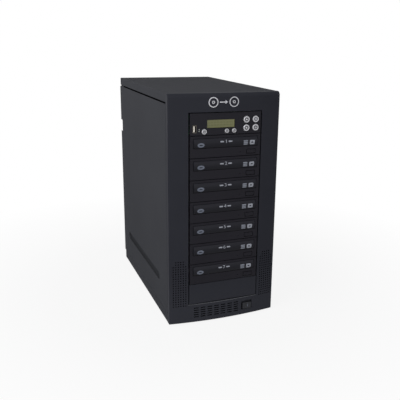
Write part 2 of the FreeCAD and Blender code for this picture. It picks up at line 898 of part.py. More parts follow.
def usb_socket():
    z = z_controller + usb_rise
    y0 = y_front - usb_proud
    y1 = y_board
    wall = usb_shell_wall
    rim = block_y(usb_x, z, usb_width, usb_height, y0, y0 + usb_flange)
    shell = block_y(usb_x, z, usb_shell_width, usb_shell_height, y0, y1)
    cavity_width = usb_shell_width - 2 * wall
    cavity = block_y(usb_x, z, cavity_width, usb_shell_height - 2 * wall, y0 - 1, y0 + usb_depth)
    x0 = usb_x - cavity_width / 2 + wall
    tongue_height = usb_shell_height - 4 * wall - 1
    tongue = box(x0, x0 + usb_tongue, y0 + 1, y0 + usb_depth, z - tongue_height / 2, z + tongue_height / 2)
    return rim.fuse(shell).cut(cavity).fuse(tongue).removeSplitter()


def status_leds():
    lights = []
    for rise in led_rise:
        z = z_controller + rise
        light = rod_y(led_radius, led_x, z, y_front - led_proud, y_board)
        lights.append(light.makeFillet(led_proud, front_edges(light, y_front - led_proud)))
    return lights


def controller_board():
    z0 = z_controller + shelf
    x = drive_width / 2
    y_end = y_board + card_thick + main_board_length
    bracket = box(-x, x, y_front_back, y_end, z0, z0 + bracket_height)
    inside = box(-x + sheet, x - sheet, y_front_back - 1, y_end + 1, z0 + sheet, z0 + bracket_height + 1)
    bracket = bracket.cut(inside)
    before_board = box(-x + sheet, x - sheet, y_front_back - 1, y_board, z0 - 1, z0 + bracket_height + 1)
    bracket = bracket.cut(before_board)
    holes = []
    for y in screw_y:
        holes.append(rod(tapped_radius, (-x - 1, y_front + y, z0 + screw_rise), (1, 0, 0), drive_width + 2))
    bracket = bracket.cut(holes)
    z_high = z_controller + bay_pitch - board_margin
    w = board_width / 2
    cards = [box(-w, w, y_board, y_board + card_thick, z_controller + board_margin, z_high)]
    z_main = z_controller + main_board_rise
    cards.append(box(-w, w, y_board + card_thick, y_end, z_main, z_main + card_thick))
    for name, tact_x, rise, radius in panel_buttons:
        z = z_controller + rise
        cards.append(block_y(tact_x, z, tact_size, tact_size, y_board - tact_height, y_board))
    for y in (y_board + fold, y_end - fold):
        for post_x in (-w + fold, w - fold):
            cards.append(rod_z(button_stem_radius, post_x, y, z0 + sheet, z_main))
    return [bracket, fuse(cards)]


# Power supply and fans
def fan_frame(size, x, z, y_seat):
    y0 = y_seat - fan_depth
    bore = size / 2 - fan_wall
    frame = block_y(x, z, size, size, y0, y_seat).cut(rod_y(bore, x, z, y0 - 1, y_seat + 1))
    motor = rod_y(fan_hub_radius, x, z, y0, y0 + fan_motor_thick)
    reach = size / 2 - fan_wall / 2
    bars = [block_y(x, z, 2 * reach, fan_strut, y0, y0 + fan_motor_thick)]
    bars.append(block_y(x, z, fan_strut, 2 * reach, y0, y0 + fan_motor_thick))
    frame = frame.fuse([motor] + bars)
    holes = [rod_y(fan_shaft_radius + shaft_clear, x, z, y0 - 1, y_seat)]
    for dx, dz in guard_screw_places(size):
        holes.append(rod_y(tapped_radius, x + dx, z + dz, y0 - 1, y_seat + 1))
    return frame.cut(holes).removeSplitter()


def fan_rotor(size, x, z, y_seat):
    y0 = y_seat - fan_depth + fan_motor_thick + fan_hub_gap
    y1 = y_seat - fan_hub_gap
    tip = size / 2 - fan_wall - fan_tip_gap
    hub = rod_y(fan_hub_radius, 0, 0, y0, y1)
    middle = (y0 + y1) / 2
    depth = y1 - y0
    ring = rod_y(tip, 0, 0, y0, y1).cut(rod_y(fan_hub_radius - 1, 0, 0, y0, y1))
    adds = []
    for number in range(fan_blades):
        t = fan_blade_thick / 2
        blade = box(-t, t, middle - depth, middle + depth, fan_hub_radius - 1, tip + 1)
        blade.rotate(vec(0, middle, 0), vec(0, 0, 1), fan_blade_angle)
        blade.rotate(vec(0, 0, 0), vec(0, 1, 0), 360 * number / fan_blades)
        adds.append(blade.common(ring))
    adds.append(rod_y(fan_shaft_radius, 0, 0, y_seat - fan_depth, y0))
    return hub.fuse(adds).removeSplitter().translated(vec(x, 0, z))


def fan_guard(size, x, z, y_seat):
    y = y_seat + guard_wire
    outer = size / 2 - fan_wall
    step = (outer - fan_hub_radius / 2) / (guard_rings - 1)
    parts = []
    for number in range(guard_rings):
        radius = outer - number * step
        parts.append(Part.makeTorus(radius, guard_wire, vec(x, y, z), vec(0, 1, 0)))
    offset = size / 2 - fan_screw_inset
    reach = offset * math.sqrt(2) - screw_head_radius
    for sx, sz in ((1, 1), (1, -1)):
        start = (x - sx * reach / math.sqrt(2), y, z - sz * reach / math.sqrt(2))
        parts.append(rod(guard_wire * 0.9, start, (sx, 0, sz), 2 * reach))
    for dx, dz in guard_screw_places(size):
        eye = rod_y(screw_head_radius + guard_wire, x + dx, z + dz, y_seat, y_seat + 2 * guard_wire)
        parts.append(eye.cut(rod_y(screw_hole_radius, x + dx, z + dz, y_seat - 1, y_seat + 4 * guard_wire)))
    return parts[0].multiFuse(parts[1:])


def psu_case():
    x = psu_width / 2
    y0 = y_panel_in - psu_depth
    case = box(-x, x, y0, y_panel_in, z_psu, z_psu_top)
    z0 = z_psu + sheet
    case = case.cut(box(-x + sheet, x - sheet, y0 + sheet, y_panel_in - sheet, z0, z_psu_top - sheet))
    bore = psu_fan_size / 2 - fan_wall
    y1 = y_panel_in - 2 * sheet
    y2 = y_panel_in + 1
    holes = [rod_y(bore, psu_fan_x, z_psu_mid, y1, y2), inlet_body(lcd_clear, y1, y2)]
    for dx, dz in guard_screw_places(psu_fan_size):
        holes.append(rod_y(screw_hole_radius, psu_fan_x + dx, z_psu_mid + dz, y1, y2))
    return case.cut(holes)


def inlet_body(grow, y0, y1):
    width = inlet_width - 2 * inlet_edge + 2 * grow
    height = inlet_height - 2 * inlet_edge + 2 * grow
    return block_y(inlet_x, z_psu_mid, width, height, y0, y1)


def rocker_pivot():
    return vec(inlet_x, y_panel_in + inlet_flange - rocker_sink, z_psu_mid + rocker_rise)


def mains_inlet():
    y_face = y_panel_in + inlet_flange
    flange = block_y(inlet_x, z_psu_mid, inlet_width, inlet_height, y_panel_in, y_face)
    body = inlet_body(0, y_face - inlet_cavity_depth - inlet_body_wall, y_panel_in)
    module = flange.fuse(body)
    z = z_psu_mid + inlet_rise
    y_floor = y_face - inlet_cavity_depth
    width = inlet_cavity_width
    height = inlet_cavity_height
    cavity = round_block_y(inlet_x, z, width, height, y_floor, y_face + 1, inlet_edge)
    pivot = rocker_pivot()
    pocket_height = 2 * (rocker_radius + rocker_gap)
    y_pocket = pivot.y - rocker_radius - rocker_gap
    pocket = block_y(inlet_x, pivot.z, rocker_width + 2 * button_clear, pocket_height, y_pocket, y_face + 1)
    pin_reach = rocker_width / 2 + button_clear + rocker_pin_length
    bore_radius = rocker_pin_radius + rocker_pin_clear
    bore = rod(bore_radius, (inlet_x - pin_reach, pivot.y, pivot.z), (1, 0, 0), 2 * pin_reach)
    module = module.cut([cavity, pocket, bore])
    blades = []
    for x, dz in ((-blade_spacing, -blade_offset), (0, blade_offset), (blade_spacing, -blade_offset)):
        y_tip = y_floor + blade_length
        blades.append(block_y(inlet_x + x, z + dz, blade_width, blade_height, y_floor, y_tip))
    return module.fuse(blades).removeSplitter()


def psu_rocker():
    pivot = rocker_pivot()
    width = rocker_width
    barrel = rod(rocker_radius, (-width / 2, 0, 0), (1, 0, 0), width)
    pin_reach = width / 2 + rocker_pin_length
    pins = rod(rocker_pin_radius, (-pin_reach, 0, 0), (1, 0, 0), 2 * pin_reach)
    for side in (-1, 1):
        flat = box(-width, width, rocker_flat, 3 * rocker_radius, -3 * rocker_radius, 3 * rocker_radius)
        flat.rotate(vec(0, rocker_flat, 0), vec(1, 0, 0), side * rocker_face_angle)
        keep_half = box(-width, width, 0, 4 * rocker_radius, min(0, side * width), max(0, side * width))
        barrel = barrel.cut(flat.common(keep_half))
    rocker = barrel.fuse(pins).removeSplitter()
    rocker.rotate(vec(0, 0, 0), vec(1, 0, 0), -rocker_tilt)
    return rocker.translated(pivot)


# Cables inside the case
def ribbon(number):
    bay = drive_bay(number)
    x0 = ribbon_left + number * ribbon_pitch - ribbon_width / 2
    z_high = z_controller + main_board_rise + card_thick
    z_low = bay_bottom(bay) + plug_rise
    y_start = y_board + card_thick + main_board_length
    y_back = y_drive_back + plug_depth + ribbon_reach
    t = ribbon_thick
    outer = box(x0, x0 + ribbon_width, y_start, y_back, z_low, z_high)
    inner = box(x0, x0 + ribbon_width, y_start - 1, y_back - t, z_low + t, z_high - t)
    outer = outer.makeFillet(ribbon_bend + t, back_edges(outer, y_back))
    inner = inner.makeFillet(ribbon_bend, back_edges(inner, y_back - t))
    band = outer.cut(inner)
    y_plug = y_drive_back + plug_depth
    band = band.cut(box(x0 - 1, x0 + ribbon_width + 1, y_start - 1, y_plug, z_low - 1, z_low + 2 * t))
    middle = x0 + ribbon_width / 2
    plug = block_y(middle, z_low, plug_width, plug_height, y_drive_back, y_plug)
    return band.fuse(plug).removeSplitter()


def back_edges(shape, y):
    across = [e for e in shape.Edges if e.BoundBox.XLength > ribbon_width / 2]
    return [e for e in across if abs(e.BoundBox.YMin - y) < 1e-6]


def power_harness():
    y = y_drive_back + plug_depth + trunk_reach
    y_psu = y_panel_in - psu_depth
    z_elbow = z_psu_mid + trunk_bend
    z_end = bay_bottom(drive_bay(1)) + plug_rise
    parts = [rod_z(trunk_radius, trunk_x, y, z_elbow, z_end + trunk_radius)]
    circle = Part.Face(Part.Wire(Part.makeCircle(trunk_radius, vec(trunk_x, y, z_elbow))))
    elbow = circle.revolve(vec(trunk_x, y + trunk_bend, z_elbow), vec(1, 0, 0), 90)
    parts.append(elbow)
    parts.append(rod_y(trunk_radius, trunk_x, z_psu_mid, y + trunk_bend, y_psu))
    for number in range(1, drive_count + 1):
        z = bay_bottom(drive_bay(number)) + plug_rise
        y_plug = y_drive_back + plug_depth
        parts.append(rod_y(branch_radius, trunk_x, z, y_plug, y))
        parts.append(block_y(trunk_x, z, power_plug_width, plug_height, y_drive_back, y_plug))
    return fuse(parts)


save("rubber_feet", rubber_feet())
save("base_pan", [base_pan()])
save("top_cover", [top_cover()])
save("left_side_panel", [left_side_panel()])
save("right_side_panel", [mirror_x(left_side_panel())])
save("rear_panel", [rear_panel()])
save("side_thumbscrews", side_thumbscrews())
save("front_bezel", [front_bezel()])
save("power_button", [power_button()])
save("power_switch", [power_switch()])
save("blank_bay_cover", [blank_bay_cover()])
save("drive_cage", [drive_cage()])
save("machine_screws", machine_screws())
save("controller_faceplate", [controller_faceplate()])
save("controller_board", controller_board())
save("lcd_window", [lcd_window()])
save("lcd_module", [lcd_module()])
save("usb_socket", [usb_socket()])
save("status_leds", status_leds())
for button_name, button_x, button_rise_in_bay, button_radius in panel_buttons:
    save(button_name, [panel_button(button_x, button_rise_in_bay, button_radius)])
save("psu_case", [psu_case()])
save("mains_inlet", [mains_inlet()])
save("psu_rocker", [psu_rocker()])
rear_fan = (fan_size, 0, z_fan)
psu_fan = (psu_fan_size, psu_fan_x, z_psu_mid)
save("fan_frames", [fan_frame(*rear_fan, y_panel_in), fan_frame(*psu_fan, y_panel_in - sheet)])
save("fan_guards", [fan_guard(*rear_fan, y_panel_out), fan_guard(*psu_fan, y_panel_in)])
save("rear_fan_rotor", [fan_rotor(*rear_fan, y_panel_in)])
save("psu_fan_rotor", [fan_rotor(*psu_fan, y_panel_in - sheet)])
drives = range(1, drive_count + 1)
save("drive_cases", [drive_case(drive_bay(n)) for n in drives])
save("drive_decks", [drive_deck(drive_bay(n)) for n in drives])
save("disc_spindles", [disc_spindle(drive_bay(n)) for n in drives])
save("laser_sleds", [laser_sled(drive_bay(n)) for n in drives])
save("data_cables", [ribbon(n) for n in drives])
save("power_harness", [power_harness()])
for n in drives:
    save("drive_%d_bezel" % n, [drive_bezel(drive_bay(n))])
    save("drive_%d_tray" % n, [drive_tray(drive_bay(n))])
    save("drive_%d_eject_button" % n, [eject_button(drive_bay(n))])
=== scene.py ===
import json
import math
import bmesh
import bpy
from mathutils import Matrix, Vector


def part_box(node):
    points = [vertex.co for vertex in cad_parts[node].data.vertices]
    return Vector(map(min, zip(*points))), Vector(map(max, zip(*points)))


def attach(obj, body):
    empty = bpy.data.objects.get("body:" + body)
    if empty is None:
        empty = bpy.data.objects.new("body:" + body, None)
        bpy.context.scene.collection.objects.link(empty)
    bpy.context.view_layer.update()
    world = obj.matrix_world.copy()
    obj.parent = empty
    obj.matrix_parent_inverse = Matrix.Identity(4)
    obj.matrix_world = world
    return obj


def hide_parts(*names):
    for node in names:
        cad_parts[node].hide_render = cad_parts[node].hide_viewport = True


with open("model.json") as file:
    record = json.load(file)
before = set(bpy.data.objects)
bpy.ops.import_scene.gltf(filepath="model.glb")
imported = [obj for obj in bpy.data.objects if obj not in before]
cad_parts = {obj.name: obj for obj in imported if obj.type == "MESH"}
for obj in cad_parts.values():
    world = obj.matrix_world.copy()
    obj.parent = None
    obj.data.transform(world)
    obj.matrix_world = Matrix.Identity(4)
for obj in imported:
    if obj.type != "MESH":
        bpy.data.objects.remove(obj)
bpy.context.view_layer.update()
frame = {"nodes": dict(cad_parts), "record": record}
mm = 0.001
hair = 0.02 * mm  # slack where places are compared
over = 1.0 * mm  # how far a cutter stands out of what it cuts
upright = math.pi / 2
drives = range(1, 8)
print("frame loaded,", len(frame["nodes"]), "nodes")


class Settings(dict):  # one piece's settings, read as piece.name
    __getattr__ = dict.__getitem__


def inMm(plain=(), **sizes):  # plain counts and shares, then sizes in millimetres
    return Settings(plain, **{name: size * mm for name, size in sizes.items()})


# Selecting and shaping by hand

def deselectAll():
    if bpy.context.object and bpy.context.object.mode == "EDIT":
        bpy.ops.object.mode_set(mode="OBJECT")
    bpy.ops.object.select_all(action="DESELECT")


def activate(obj):
    deselectAll()
    obj.select_set(True)
    bpy.context.view_layer.objects.active = obj


def pick(obj, kind, test=lambda item: True):  # goes into edit mode with what passes the test selected
    if obj.mode != "EDIT":
        activate(obj)
        bpy.ops.object.mode_set(mode="EDIT")
    bpy.ops.mesh.select_mode(type=kind)
    bpy.ops.mesh.select_all(action="DESELECT")
    mesh = bmesh.from_edit_mesh(obj.data)
    mesh.normal_update()
    for item in {"VERT": mesh.verts, "EDGE": mesh.edges, "FACE": mesh.faces}[kind]:
        if test(item):
            item.select_set(True)
    mesh.select_flush_mode()
    bmesh.update_edit_mesh(obj.data)


def level(item, axis, value, slack=hair):  # an edge or face that lies at one coordinate
    return all(abs(v.co[axis] - value) < slack for v in item.verts)


def along(axis, edge):
    a, b = edge.verts
    return abs((b.co - a.co).normalized()[axis]) > 0.999


def sharp(edge, angle=0.9):
    return edge.calc_face_angle(0) > angle


def faces(face, axis, sign):  # looks along an axis
    return face.normal[axis] * sign > 0.9


def middle(item):
    return sum((v.co for v in item.verts), Vector()) / len(item.verts)


def settle(name, size=None):  # the new shape takes its name and size, and its place goes into its mesh
    obj = bpy.context.object
    obj.name = name
    if size:
        obj.scale = size
    bpy.ops.object.transform_apply()
    return obj


def boxPart(name, low, high):
    deselectAll()
    place = [(a + b) / 2 for a, b in zip(low, high)]
    size = [b - a for a, b in zip(low, high)]
    bpy.ops.mesh.primitive_cube_add(size=1, location=place, scale=size)
    return settle(name)


def blockPart(name, spot, halfWide, halfTall, yLow, yHigh):  # a box around a spot of the front
    return boxPart(name, (spot.x - halfWide, yLow, spot.z - halfTall),
            (spot.x + halfWide, yHigh, spot.z + halfTall))


def rodPart(name, radius, start, end, sides):
    deselectAll()
    run = Vector(end) - Vector(start)
    turn = run.to_track_quat("Z", "Y").to_euler()
    place = (Vector(start) + Vector(end)) / 2
    bpy.ops.mesh.primitive_cylinder_add(vertices=sides, radius=radius, depth=run.length, location=place,
            rotation=turn)
    return settle(name)


def pinPart(name, radius, x, z, yLow, yHigh, sides):  # a rod that runs from front to back
    return rodPart(name, radius, (x, yLow, z), (x, yHigh, z), sides)


def roundEdges(obj, test, width, segments):
    pick(obj, "EDGE", test)
    bpy.ops.mesh.bevel(offset=width, segments=segments, clamp_overlap=True)
    deselectAll()
    return obj


def roundLevel(obj, axis, value, width, segments):
    return roundEdges(obj, lambda e: level(e, axis, value), width, segments)


def roundAlong(obj, axis, width, segments):
    return roundEdges(obj, lambda e: along(axis, e), width, segments)


def sinkFace(obj, axis, value, rim, slope, depth):  # a rim stays, and the face within it drops
    pick(obj, "FACE", lambda f: level(f, axis, value))
    bpy.ops.mesh.inset(thickness=rim)
    bpy.ops.mesh.inset(thickness=slope, depth=-depth)
    deselectAll()


def dropFaces(obj, test):
    pick(obj, "FACE", test)
    bpy.ops.mesh.delete(type="FACE")
    deselectAll()


def modify(obj, kind, **settings):
    step = obj.modifiers.new(kind, kind)
    for name, value in settings.items():
        setattr(step, name, value)
    activate(obj)
    bpy.ops.object.modifier_apply(modifier=step.name)
    return obj


def carve(obj, cutter, operation="DIFFERENCE"):
    source = "TRANSFER" if cutter.data.materials else "INDEX"  # walls may take the cutter's finish
    modify(obj, "BOOLEAN", operation=operation, solver="EXACT", material_mode=source, object=cutter)
    bpy.data.objects.remove(cutter)
    return obj


def thicken(obj, thickness, offset=-1.0):
    return modify(obj, "SOLIDIFY", thickness=thickness, offset=offset, use_even_offset=True)


def repeat(obj, count, step):
    return modify(obj, "ARRAY", count=count, use_relative_offset=False, use_constant_offset=True,
            constant_offset_displace=step)


def joinParts(name, parts):
    deselectAll()
    for part in parts:
        part.select_set(True)
    bpy.context.view_layer.objects.active = parts[0]
    if len(parts) > 1:
        bpy.ops.object.join()
    parts[0].name = name
    return parts[0]


def copyPart(obj, name, shift):
    twin = obj.copy()
    twin.data = obj.data.copy()
    twin.name = name
    bpy.context.scene.collection.objects.link(twin)
    twin.data.transform(Matrix.Translation(shift))
    return twin


def mirrorPart(obj, name):  # the same piece on the other side of the case
    twin = copyPart(obj, name, (0, 0, 0))
    twin.data.transform(Matrix.Scale(-1, 4, (1, 0, 0)))
    pick(twin, "FACE")
    bpy.ops.mesh.normals_make_consistent()
    deselectAll()
    return twin


def paint(obj, material):
    obj.data.materials.append(material)
    return obj


smoothAngle = math.radians(32)


def finishPart(obj, body, slot=None, replaced=()):
    if not obj.data.materials:
        paint(obj, finishes[slot])
    activate(obj)
    bpy.ops.object.shade_smooth_by_angle(angle=smoothAngle)
    modify(obj, "WEIGHTED_NORMAL", keep_sharp=True)
    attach(obj, body)
    if replaced:
        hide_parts(*replaced)
    return obj


def perDrive(model, name, node, body, slot):  # the first drive's piece is copied to the others
    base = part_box(node.format(1))[0].z
    pieces = [model]
    for number in drives[1:]:
        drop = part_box(node.format(number))[0].z - base
        pieces.append(copyPart(model, name.format(number), (0, 0, drop)))
    for number, piece in zip(drives, pieces):
        finishPart(piece, body.format(number), slot, [node.format(number)])
    return pieces


# Materials

def operator(operation, turned=False):  # turned when the wire is on the right
    def combine(wire, other):
        first, second = (other, wire) if turned else (wire, other)
        return wire.finish.maths(operation, first, second)
    return combine


class Wire:  # one socket of a shader, so that sums can be written out
    def __init__(self, finish, socket):
        self.finish = finish
        self.socket = socket

    __add__ = operator("ADD")
    __radd__ = operator("ADD", True)
    __sub__ = operator("SUBTRACT")
    __rsub__ = operator("SUBTRACT", True)
    __mul__ = operator("MULTIPLY")
    __rmul__ = operator("MULTIPLY", True)
    __truediv__ = operator("DIVIDE")
    __gt__ = operator("GREATER_THAN")
    __lt__ = operator("LESS_THAN")


class Finish:  # the nodes of one material or world
    def __init__(self, owner):
        self.owner = owner
        owner.use_nodes = True
        self.tree = owner.node_tree
        self.tree.nodes.clear()

    def node(self, kind, settings, sockets, output=0):
        made = self.tree.nodes.new("ShaderNode" + kind)
        for name, value in settings.items():
            setattr(made, name, value)
        for name, value in sockets.items():
            if isinstance(value, Wire):
                self.tree.links.new(value.socket, made.inputs[name])
            else:
                made.inputs[name].default_value = value
        return Wire(self, made.outputs[output]) if made.outputs else made

    def maths(self, operation, first, second=0.0):
        return self.node("Math", {"operation": operation}, {0: first, 1: second})

    def place(self, size=(1, 1, 1)):
        spot = self.node("TexCoord", {}, {}, "Object")
        return self.node("Mapping", {}, {"Vector": spot, "Scale": size})

    def coordinate(self, axis):
        return self.node("SeparateXYZ", {}, {"Vector": self.node("TexCoord", {}, {}, "Object")}, axis)

    def noise(self, scale, detail=2.0, size=(1, 1, 1)):
        return self.node("TexNoise", {}, {"Vector": self.place(size), "Scale": scale, "Detail": detail})

    def cells(self, scale, output="Distance"):
        return self.node("TexVoronoi", {}, {"Vector": self.place(), "Scale": scale}, output)

    def ramp(self, value, low, high):  # stretches low..high to 0..1
        return self.node("MapRange", {}, {"Value": value, "From Min": low, "From Max": high})

    def mix(self, share, first, second):  # wires or colours
        first, second = (c if isinstance(c, Wire) or len(c) == 4 else tint(*c) for c in (first, second))
        return self.node("Mix", {"data_type": "RGBA"}, {0: share, 6: first, 7: second}, 2)

    def blend(self, share, first, second):
        return self.node("MixShader", {}, {0: share, 1: first, 2: second})

    def backdropRays(self):  # one for the rays that show the white background
        kinds = ("Is Camera Ray", "Is Glossy Ray", "Is Transmission Ray")
        camera, glossy, through = (self.node("LightPath", {}, {}, kind) for kind in kinds)
        return self.maths("MAXIMUM", camera, self.maths("MAXIMUM", glossy, through))

    def surface(self, colour, rough, relief, metal=0.0, shine=0.5, ior=1.5):
        height, depth, strength = relief  # the depth is in millimetres
        bump = self.node("Bump", {}, {"Strength": strength, "Distance": depth * mm, "Height": height})
        shader = self.node("BsdfPrincipled", {},
                {"Base Color": colour, "Roughness": rough, "Metallic": metal, "Specular IOR Level": shine,
                "IOR": ior, "Normal": bump})
        self.node("OutputMaterial", {}, {"Surface": shader})
        return self.owner


def newFinish(name):
    return Finish(bpy.data.materials.new(name))


def tint(red, green, blue):  # a screen colour as the shader's linear one
    def linear(value):
        share = value / 255
        return share / 12.92 if share < 0.04045 else ((share + 0.055) / 1.055) ** 2.4
    return linear(red), linear(green), linear(blue), 1.0


def powderCoat():
    coat = newFinish("casePaint")
    peel = coat.noise(1300, 3.0)  # orange peel
    cloud = coat.ramp(coat.noise(7, 4.0), 0.3, 0.7)  # faint handling marks
    speck = coat.ramp(coat.cells(900), 0.0, 0.35)
    colour = coat.mix(cloud, (57, 58, 62), (62, 63, 67))
    rough = 0.68 + cloud * 0.07 - peel * 0.08
    return coat.surface(colour, rough, (peel + speck * 0.3, 0.12, 0.35), shine=0.006)


def grainedPlastic(name, dark, paleBar, rough, grainScale, shine=0.2, depth=0.08, foot=None):
    plastic = newFinish(name)
    grain = plastic.noise(grainScale)
    pits = plastic.ramp(plastic.cells(grainScale * 0.55), 0.05, 0.5)
    smudge = plastic.ramp(plastic.noise(16, 4.0), 0.35, 0.75)
    colour = plastic.mix(smudge * 0.6 + grain * 0.4, dark, paleBar)
    if foot:  # painted light: paler towards the floor
        colour = plastic.mix(plastic.ramp(plastic.coordinate("Z"), 110 * mm, 30 * mm), colour, foot)
    uneven = rough + smudge * 0.08 - grain * 0.05
    return plastic.surface(colour, uneven, (grain * 0.6 + pits * 0.4, depth, 0.3), shine=shine)


def trayPlastic():  # painted light and shade: doors are lighter at the brow and darker at the foot, as light falls from above
    plastic = newFinish("trayPlastic")
    low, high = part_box("drive_7_tray")
    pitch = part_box("drive_6_tray")[0].z - low.z
    rise = plastic.maths("FRACT", (plastic.coordinate("Z") - low.z) / pitch)
    # painted shade: dark at the foot of each door, light at its brow
    share = plastic.ramp(rise, 0.0, (high.z - low.z) / pitch)
    grain = plastic.noise(2800)
    colour = plastic.mix(share * 0.85 + grain * 0.15, (21, 21, 26), (34, 34, 40))
    return plastic.surface(colour, 0.46 - grain * 0.05, (grain, 0.04, 0.3), shine=0.1)


def silverPaint():
    silver = newFinish("silverPaint")
    flake = silver.cells(4200, "Color")
    glint = silver.noise(3000, 1.0)
    haze = silver.noise(220, 3.0)
    colour = silver.mix(0.08, silver.mix(glint, (156, 156, 161), (182, 182, 187)), flake)
    return silver.surface(colour, 0.34 + haze * 0.12, (glint, 0.02, 0.2), metal=0.35 + glint * 0.2)


def galvanised():
    zinc = newFinish("galvanisedSteel")
    spangle = zinc.node("RGBToBW", {}, {"Color": zinc.cells(95, "Color")})
    rolled = zinc.noise(60, 3.0, (1, 0.08, 1))
    colour = zinc.mix(spangle, (138, 141, 144), (176, 179, 182))
    return zinc.surface(colour, 0.34 + spangle * 0.16 + rolled * 0.1, (rolled, 0.03, 0.2), metal=1.0)


def nickel():
    plate = newFinish("nickelPlate")
    streak = plate.noise(900, 3.0, (1, 1, 0.06))
    dull = plate.ramp(plate.noise(120, 3.0), 0.35, 0.7)
    colour = plate.mix(dull, (205, 204, 200), (182, 181, 178))
    return plate.surface(colour, 0.16 + dull * 0.1 + streak * 0.08, (streak, 0.02, 0.15), metal=1.0)


def circuitCard():
    card = newFinish("circuitCard")
    lanes = card.node("TexBrick", {"offset": 0.37},
            {"Vector": card.place(), "Scale": 130.0, "Mortar Size": 0.08, "Brick Width": 1.4,
            "Row Height": 0.32}, "Fac")
    pads = card.cells(210) < 0.22
    weave = card.noise(2600, 1.0)
    green = card.mix(weave * 0.4, (18, 66, 40), (26, 84, 50))
    copper = card.mix(lanes, green, (44, 112, 66))
    colour = card.mix(pads, copper, (188, 182, 160))
    return card.surface(colour, 0.42 - pads * 0.12, (lanes * 0.6 + pads, 0.05, 0.35), metal=pads * 0.8)


lcd = inMm(dict(columns=16, rows=2, sideMargin=0.07, endMargin=0.16), edge=0.4, rim=0.9, slope=0.3, sink=0.2)


def displayGlass():  # two rows of faint cells
    glass = newFinish("displayGlass")
    low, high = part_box("lcd_window")
    side, end = lcd.sideMargin, lcd.endMargin
    across = (glass.coordinate("X") - low.x) / (high.x - low.x)
    upward = (glass.coordinate("Z") - low.z) / (high.z - low.z)
    column = glass.maths("FRACT", (across - side) / (1 - 2 * side) * lcd.columns)
    row = glass.maths("FRACT", (upward - end) / (1 - 2 * end) * lcd.rows)
    inside = (column > 0.12) * (column < 0.88) * (row > 0.1) * (row < 0.9)
    shown = (across > side) * (across < 1 - side) * (upward > end) * (upward < 1 - end)
    # painted glow: the window is paler towards its upper right
    glow = glass.mix(across * 0.5 + upward * 0.5, (93, 94, 56), (108, 108, 70))
    colour = glass.mix(inside * shown * 0.35, glow, (86, 88, 54))
    return glass.surface(colour, 0.3 - inside * 0.06, (glass.noise(500, 1.0), 0.02, 0.1), shine=0.4)


def lightPipe():
    pipe = newFinish("lightPipe")
    cloud = pipe.noise(900)
    colour = pipe.mix(cloud, (120, 124, 122), (158, 162, 158))
    return pipe.surface(colour, 0.2 + cloud * 0.12, (cloud, 0.02, 0.1), ior=1.49)


def cableJacket():
    jacket = newFinish("cableJacket")
    ribs = jacket.node("TexWave", {"bands_direction": "X"},
            {"Vector": jacket.place(), "Scale": 420.0, "Distortion": 0.4})
    scuff = jacket.noise(240, 3.0)
    colour = jacket.mix(scuff, (26, 26, 28), (46, 46, 48))
    return jacket.surface(colour, 0.48 + scuff * 0.16, (ribs, 0.12, 0.4))


def footRubber():
    rubber = newFinish("footRubber")
    crumb = rubber.noise(1800, 4.0)
    dust = rubber.ramp(rubber.noise(130, 4.0), 0.45, 0.8)
    colour = rubber.mix(dust * 0.5, (22, 22, 22), (62, 60, 57))
    return rubber.surface(colour, 0.78 + dust * 0.12, (crumb, 0.1, 0.5), shine=0.2)


def printInk(name, pale, dark):
    ink = newFinish(name)
    speckle = ink.noise(2600)
    worn = ink.ramp(ink.noise(320, 3.0), 0.3, 0.75)
    colour = ink.mix(worn * 0.7 + speckle * 0.3, pale, dark)
    return ink.surface(colour, 0.5 + speckle * 0.12, (speckle, 0.02, 0.2))


finishes = {
    "case_paint": powderCoat(),
    # the bezel's paler foot colour is painted light
    "bezel_plastic": grainedPlastic("bezelPlastic", (43, 44, 50), (47, 48, 54), 0.56, 2200, 0.02,
                                    foot=(51, 52, 58)),
    "drive_plastic": grainedPlastic("drivePlastic", (25, 24, 30), (29, 28, 34), 0.46, 2800, 0.1, depth=0.04),
    "tray_plastic": trayPlastic(),
    "silver_plastic": silverPaint(),
    "bare_steel": galvanised(),
    "bright_metal": nickel(),
    "fan_plastic": grainedPlastic("fanPlastic", (20, 20, 21), (28, 28, 29), 0.36, 1600),
    "rocker_plastic": grainedPlastic("rockerPlastic", (18, 18, 19), (25, 25, 26), 0.3, 1900),
    "mechanism_plastic": grainedPlastic("mechanismPlastic", (48, 49, 51), (60, 61, 63), 0.45, 1500),
    "circuit_board": circuitCard(),
    "display_glass": displayGlass(),
    "light_pipe": lightPipe(),
    "cable_jacket": cableJacket(),
    "foot_rubber": footRubber(),
}
doorInk = printInk("doorInk", (150, 153, 162), (128, 131, 142))
midInk = printInk("midInk", (126, 130, 140), (106, 110, 122))
dimInk = printInk("dimInk", (98, 104, 118), (82, 88, 102))
darkInk = printInk("darkInk", (44, 44, 48), (54, 54, 58))
paleInk = printInk("paleInk", (214, 214, 218), (196, 196, 202))
socketShell = grainedPlastic("socketShell", (66, 61, 56), (82, 77, 71), 0.38, 1200, 0.3)
keyPlastic = grainedPlastic("keyPlastic", (41, 42, 46), (47, 48, 52), 0.48, 2200, 0.15)
creamPlastic = grainedPlastic("creamPlastic", (232, 225, 213), (244, 238, 228), 0.4, 1800)
# painted highlight: a paler plastic for the sill of the bezel opening
paintedSillHighlight = grainedPlastic("paintedSillHighlight", (66, 67, 72), (74, 75, 80), 0.34, 2200, 0.4)
# painted shade: near-black for hole walls, gaps and the seam, where shade falls
paintedShade = grainedPlastic("paintedShade", (4, 4, 5), (6, 6, 7), 0.9, 2200, 0.0)
# painted shade: a darker paint for the inside of the side groove
paintedGrooveShade = grainedPlastic("paintedGrooveShade", (51, 52, 55), (56, 57, 60), 0.75, 1300, 0.0)
print("materials ready,", len(finishes), "slots")


